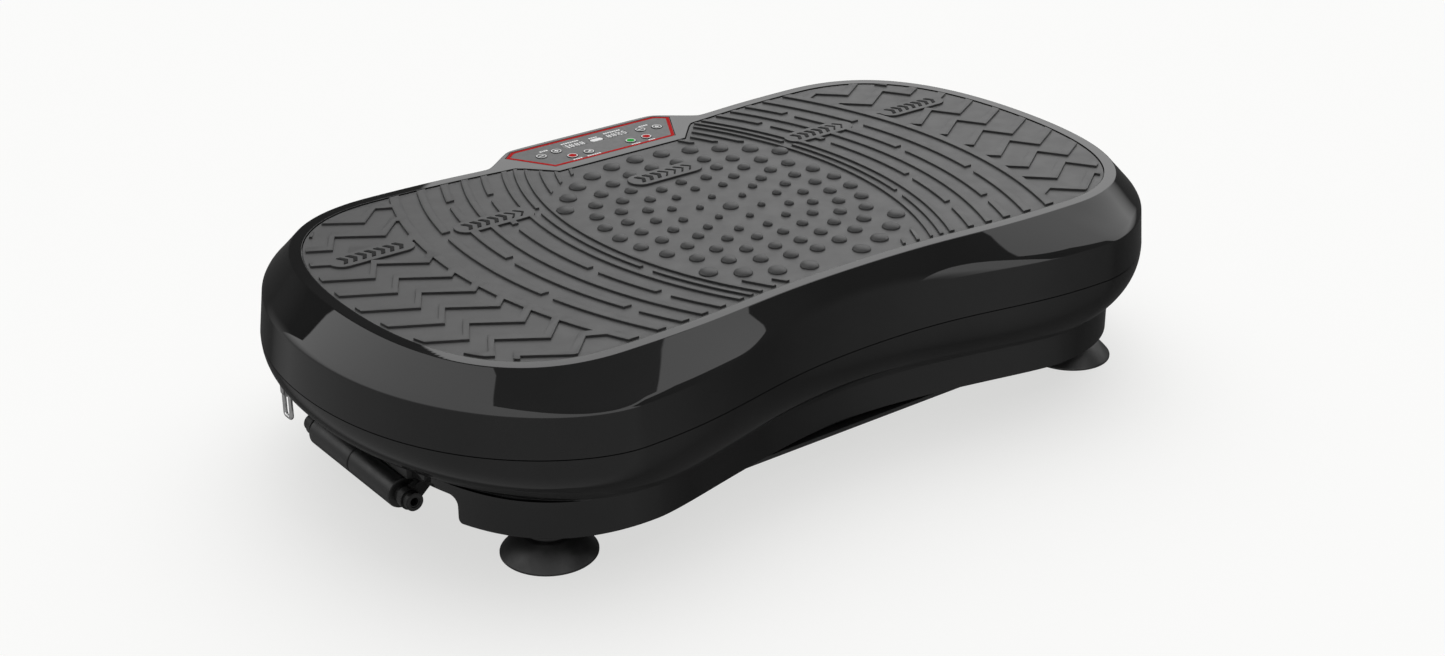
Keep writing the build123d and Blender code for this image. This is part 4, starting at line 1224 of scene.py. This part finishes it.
def studio_world():
    """Soft light from above for matt surfaces, and the softbox band for gloss."""
    world = bpy.data.worlds.new("studio")
    bpy.context.scene.world = world
    world.use_nodes = True
    nodes, links = world.node_tree.nodes, world.node_tree.links
    nodes.clear()

    def calculate(kind, first, second=None):
        node = nodes.new("ShaderNodeMath")
        node.operation = kind
        for socket, value in zip(node.inputs, (first, second)):
            if isinstance(value, (int, float)):
                socket.default_value = value
            elif value is not None:
                links.new(value, socket)
        return node.outputs[0]

    def times(first, second):
        return calculate("MULTIPLY", first, second)

    def plus(first, second):
        return calculate("ADD", first, second)

    def inverse(share):
        return calculate("SUBTRACT", 1, share)

    def rising(value, edge, soft=EDGE_SOFTNESS):
        """0 below an edge, 1 above it, over a soft step."""
        share = calculate("DIVIDE", calculate("SUBTRACT", value, edge - soft), 2 * soft)
        return calculate("MAXIMUM", calculate("MINIMUM", share, 1), 0)

    def sector(low, high, low_soft=EDGE_SOFTNESS, high_soft=EDGE_SOFTNESS):
        """1 between two azimuths, 0 outside them."""
        return times(rising(azimuth, low, low_soft), inverse(rising(azimuth, high, high_soft)))

    def blend(share, first, second):
        return plus(times(inverse(share), first), times(share, second))

    split = nodes.new("ShaderNodeSeparateXYZ")
    direction = nodes.new("ShaderNodeTexCoord").outputs["Generated"]
    links.new(direction, split.inputs[0])
    x, y, z = split.outputs
    azimuth = times(calculate("ARCTAN2", y, x), 180 / math.pi)
    height = times(calculate("ARCSINE", z), 180 / math.pi)
    window = times(sector(*WINDOW), inverse(rising(height, WINDOW_HIGH)))
    band = blend(window, blend(sector(*GAP), BAND_LEVEL, GAP_LEVEL), WINDOW_LEVEL)
    ground = times(blend(sector(*GROUND_SHADE), GROUND_LEVEL, GROUND_LEVEL * 0.2),
                   blend(rising(height, -30, 30), 0.6, 1))
    around = blend(rising(height, BAND_LOW, 7), ground, band)
    gloss = blend(rising(height, BAND_HIGH), around, CEILING_LEVEL)

    facing = nodes.new("ShaderNodeVectorMath")
    facing.operation = "DOT_PRODUCT"
    links.new(direction, facing.inputs[0])
    facing.inputs[1].default_value = TOP_LIGHT
    above = calculate("MAXIMUM", facing.outputs["Value"], 0)
    matt = plus(times(calculate("POWER", above, TOP_LIGHT_FOCUS), TOP_LIGHT_LEVEL), AIR_LEVEL)
    ray = nodes.new("ShaderNodeLightPath")
    matt = plus(matt, times(ray.outputs["Is Camera Ray"], BACKDROP_LEVEL))

    shaders = []
    for strength in (matt, gloss):
        shader = nodes.new("ShaderNodeBackground")
        links.new(strength, shader.inputs["Strength"])
        shaders.append(shader.outputs[0])
    choose = nodes.new("ShaderNodeMixShader")
    links.new(ray.outputs["Is Glossy Ray"], choose.inputs[0])
    links.new(shaders[0], choose.inputs[1])
    links.new(shaders[1], choose.inputs[2])
    links.new(choose.outputs[0], nodes.new("ShaderNodeOutputWorld").inputs[0])


CAMERA_TURN = math.radians(-37.76)  # from straight in front, and up from level
CAMERA_RISE = math.radians(24.26)
CAMERA_DISTANCE = 1.52335      # metres
CAMERA_AIM = Vector((-4.2, -16.4, 79))
LENS = 52.85
LENS_SHIFT = (-0.0051, -0.0266)


def camera():
    """Camera at the viewing angle of the studio picture: left front corner, a little above."""
    turn, rise = CAMERA_TURN, CAMERA_RISE
    back = Vector((math.sin(turn) * math.cos(rise), -math.cos(turn) * math.cos(rise), math.sin(rise)))
    centre = (cad_low + cad_high) / 2
    lens = bpy.data.cameras.new("camera")
    lens.sensor_width = 36
    lens.lens = LENS
    lens.shift_x, lens.shift_y = LENS_SHIFT
    lens.clip_start, lens.clip_end = 0.05, 60
    view = bpy.data.objects.new("camera", lens)
    bpy.context.scene.collection.objects.link(view)
    view.location = Vector((centre.x, centre.y, 0)) + CAMERA_AIM * MM + back * CAMERA_DISTANCE
    view.rotation_mode = "QUATERNION"
    view.rotation_quaternion = (-back).to_track_quat("-Z", "Y")
    bpy.context.scene.camera = view


# ---- everything
def build():
    gloss, satin = gloss_plastic(), satin_plastic("satin_black_plastic", 24, 0.32, 0.42)
    rubber, film, glass = foot_rubber(), film_grey(), glass_dark()
    white, red = ink("ink_white", grey(248)), ink("ink_red", tint(182, 0, 3))
    green = ink("ink_green", tint(30, 170, 60))
    keycap = coloured_plastic("key_grey", grey(70), 0.36, 0.46)
    chrome = brushed_metal("ring_chrome", grey(215), 0.06, 0.14)

    top_cover(gloss)
    lower_cover(gloss)
    screw_bosses(satin)
    roller_hood(satin)
    service_bosses(gloss)
    deck_mat(mat_rubber())
    pace_marks(mark_rubber())
    panel_film(film)
    panel_print(red, white)
    display("time_display", "1000", glass, white)
    display("speed_display", "0025", glass, white)
    remote_window(white)
    symbols = {"time_down": minus, "time_up": plus, "speed_down": minus, "speed_up": plus, "program": bars}
    centres = {"power": (red, "button_red"), "start": (green, "button_green"), "stop": (red, "button_red")}
    for name in KEYS:
        centre, slot = centres.get(name, (keycap, "button_grey"))
        key(name, keycap, white, centre, slot, symbols.get(name))
    for node in sorted(frame["nodes"]):
        if node.startswith("suction_foot"):
            suction_foot(node, rubber)
    transport_roller(satin)
    band_ring("left", chrome)
    band_ring("right", chrome)


def dress_nodes():
    """Gives each CAD node that stays in sight the finish of its material slot."""
    finishes = slot_finishes()
    slots = {entry["node"]: entry["material_slot"] for entry in frame["record"]["subparts"]}
    for node, thing in frame["nodes"].items():
        if not thing.hide_render:
            thing.data.materials.clear()
            thing.data.materials.append(finishes[slots[node]])


build()
dress_nodes()
studio_floor()
studio_world()
camera()
bpy.context.scene.view_settings.view_transform = "Standard"
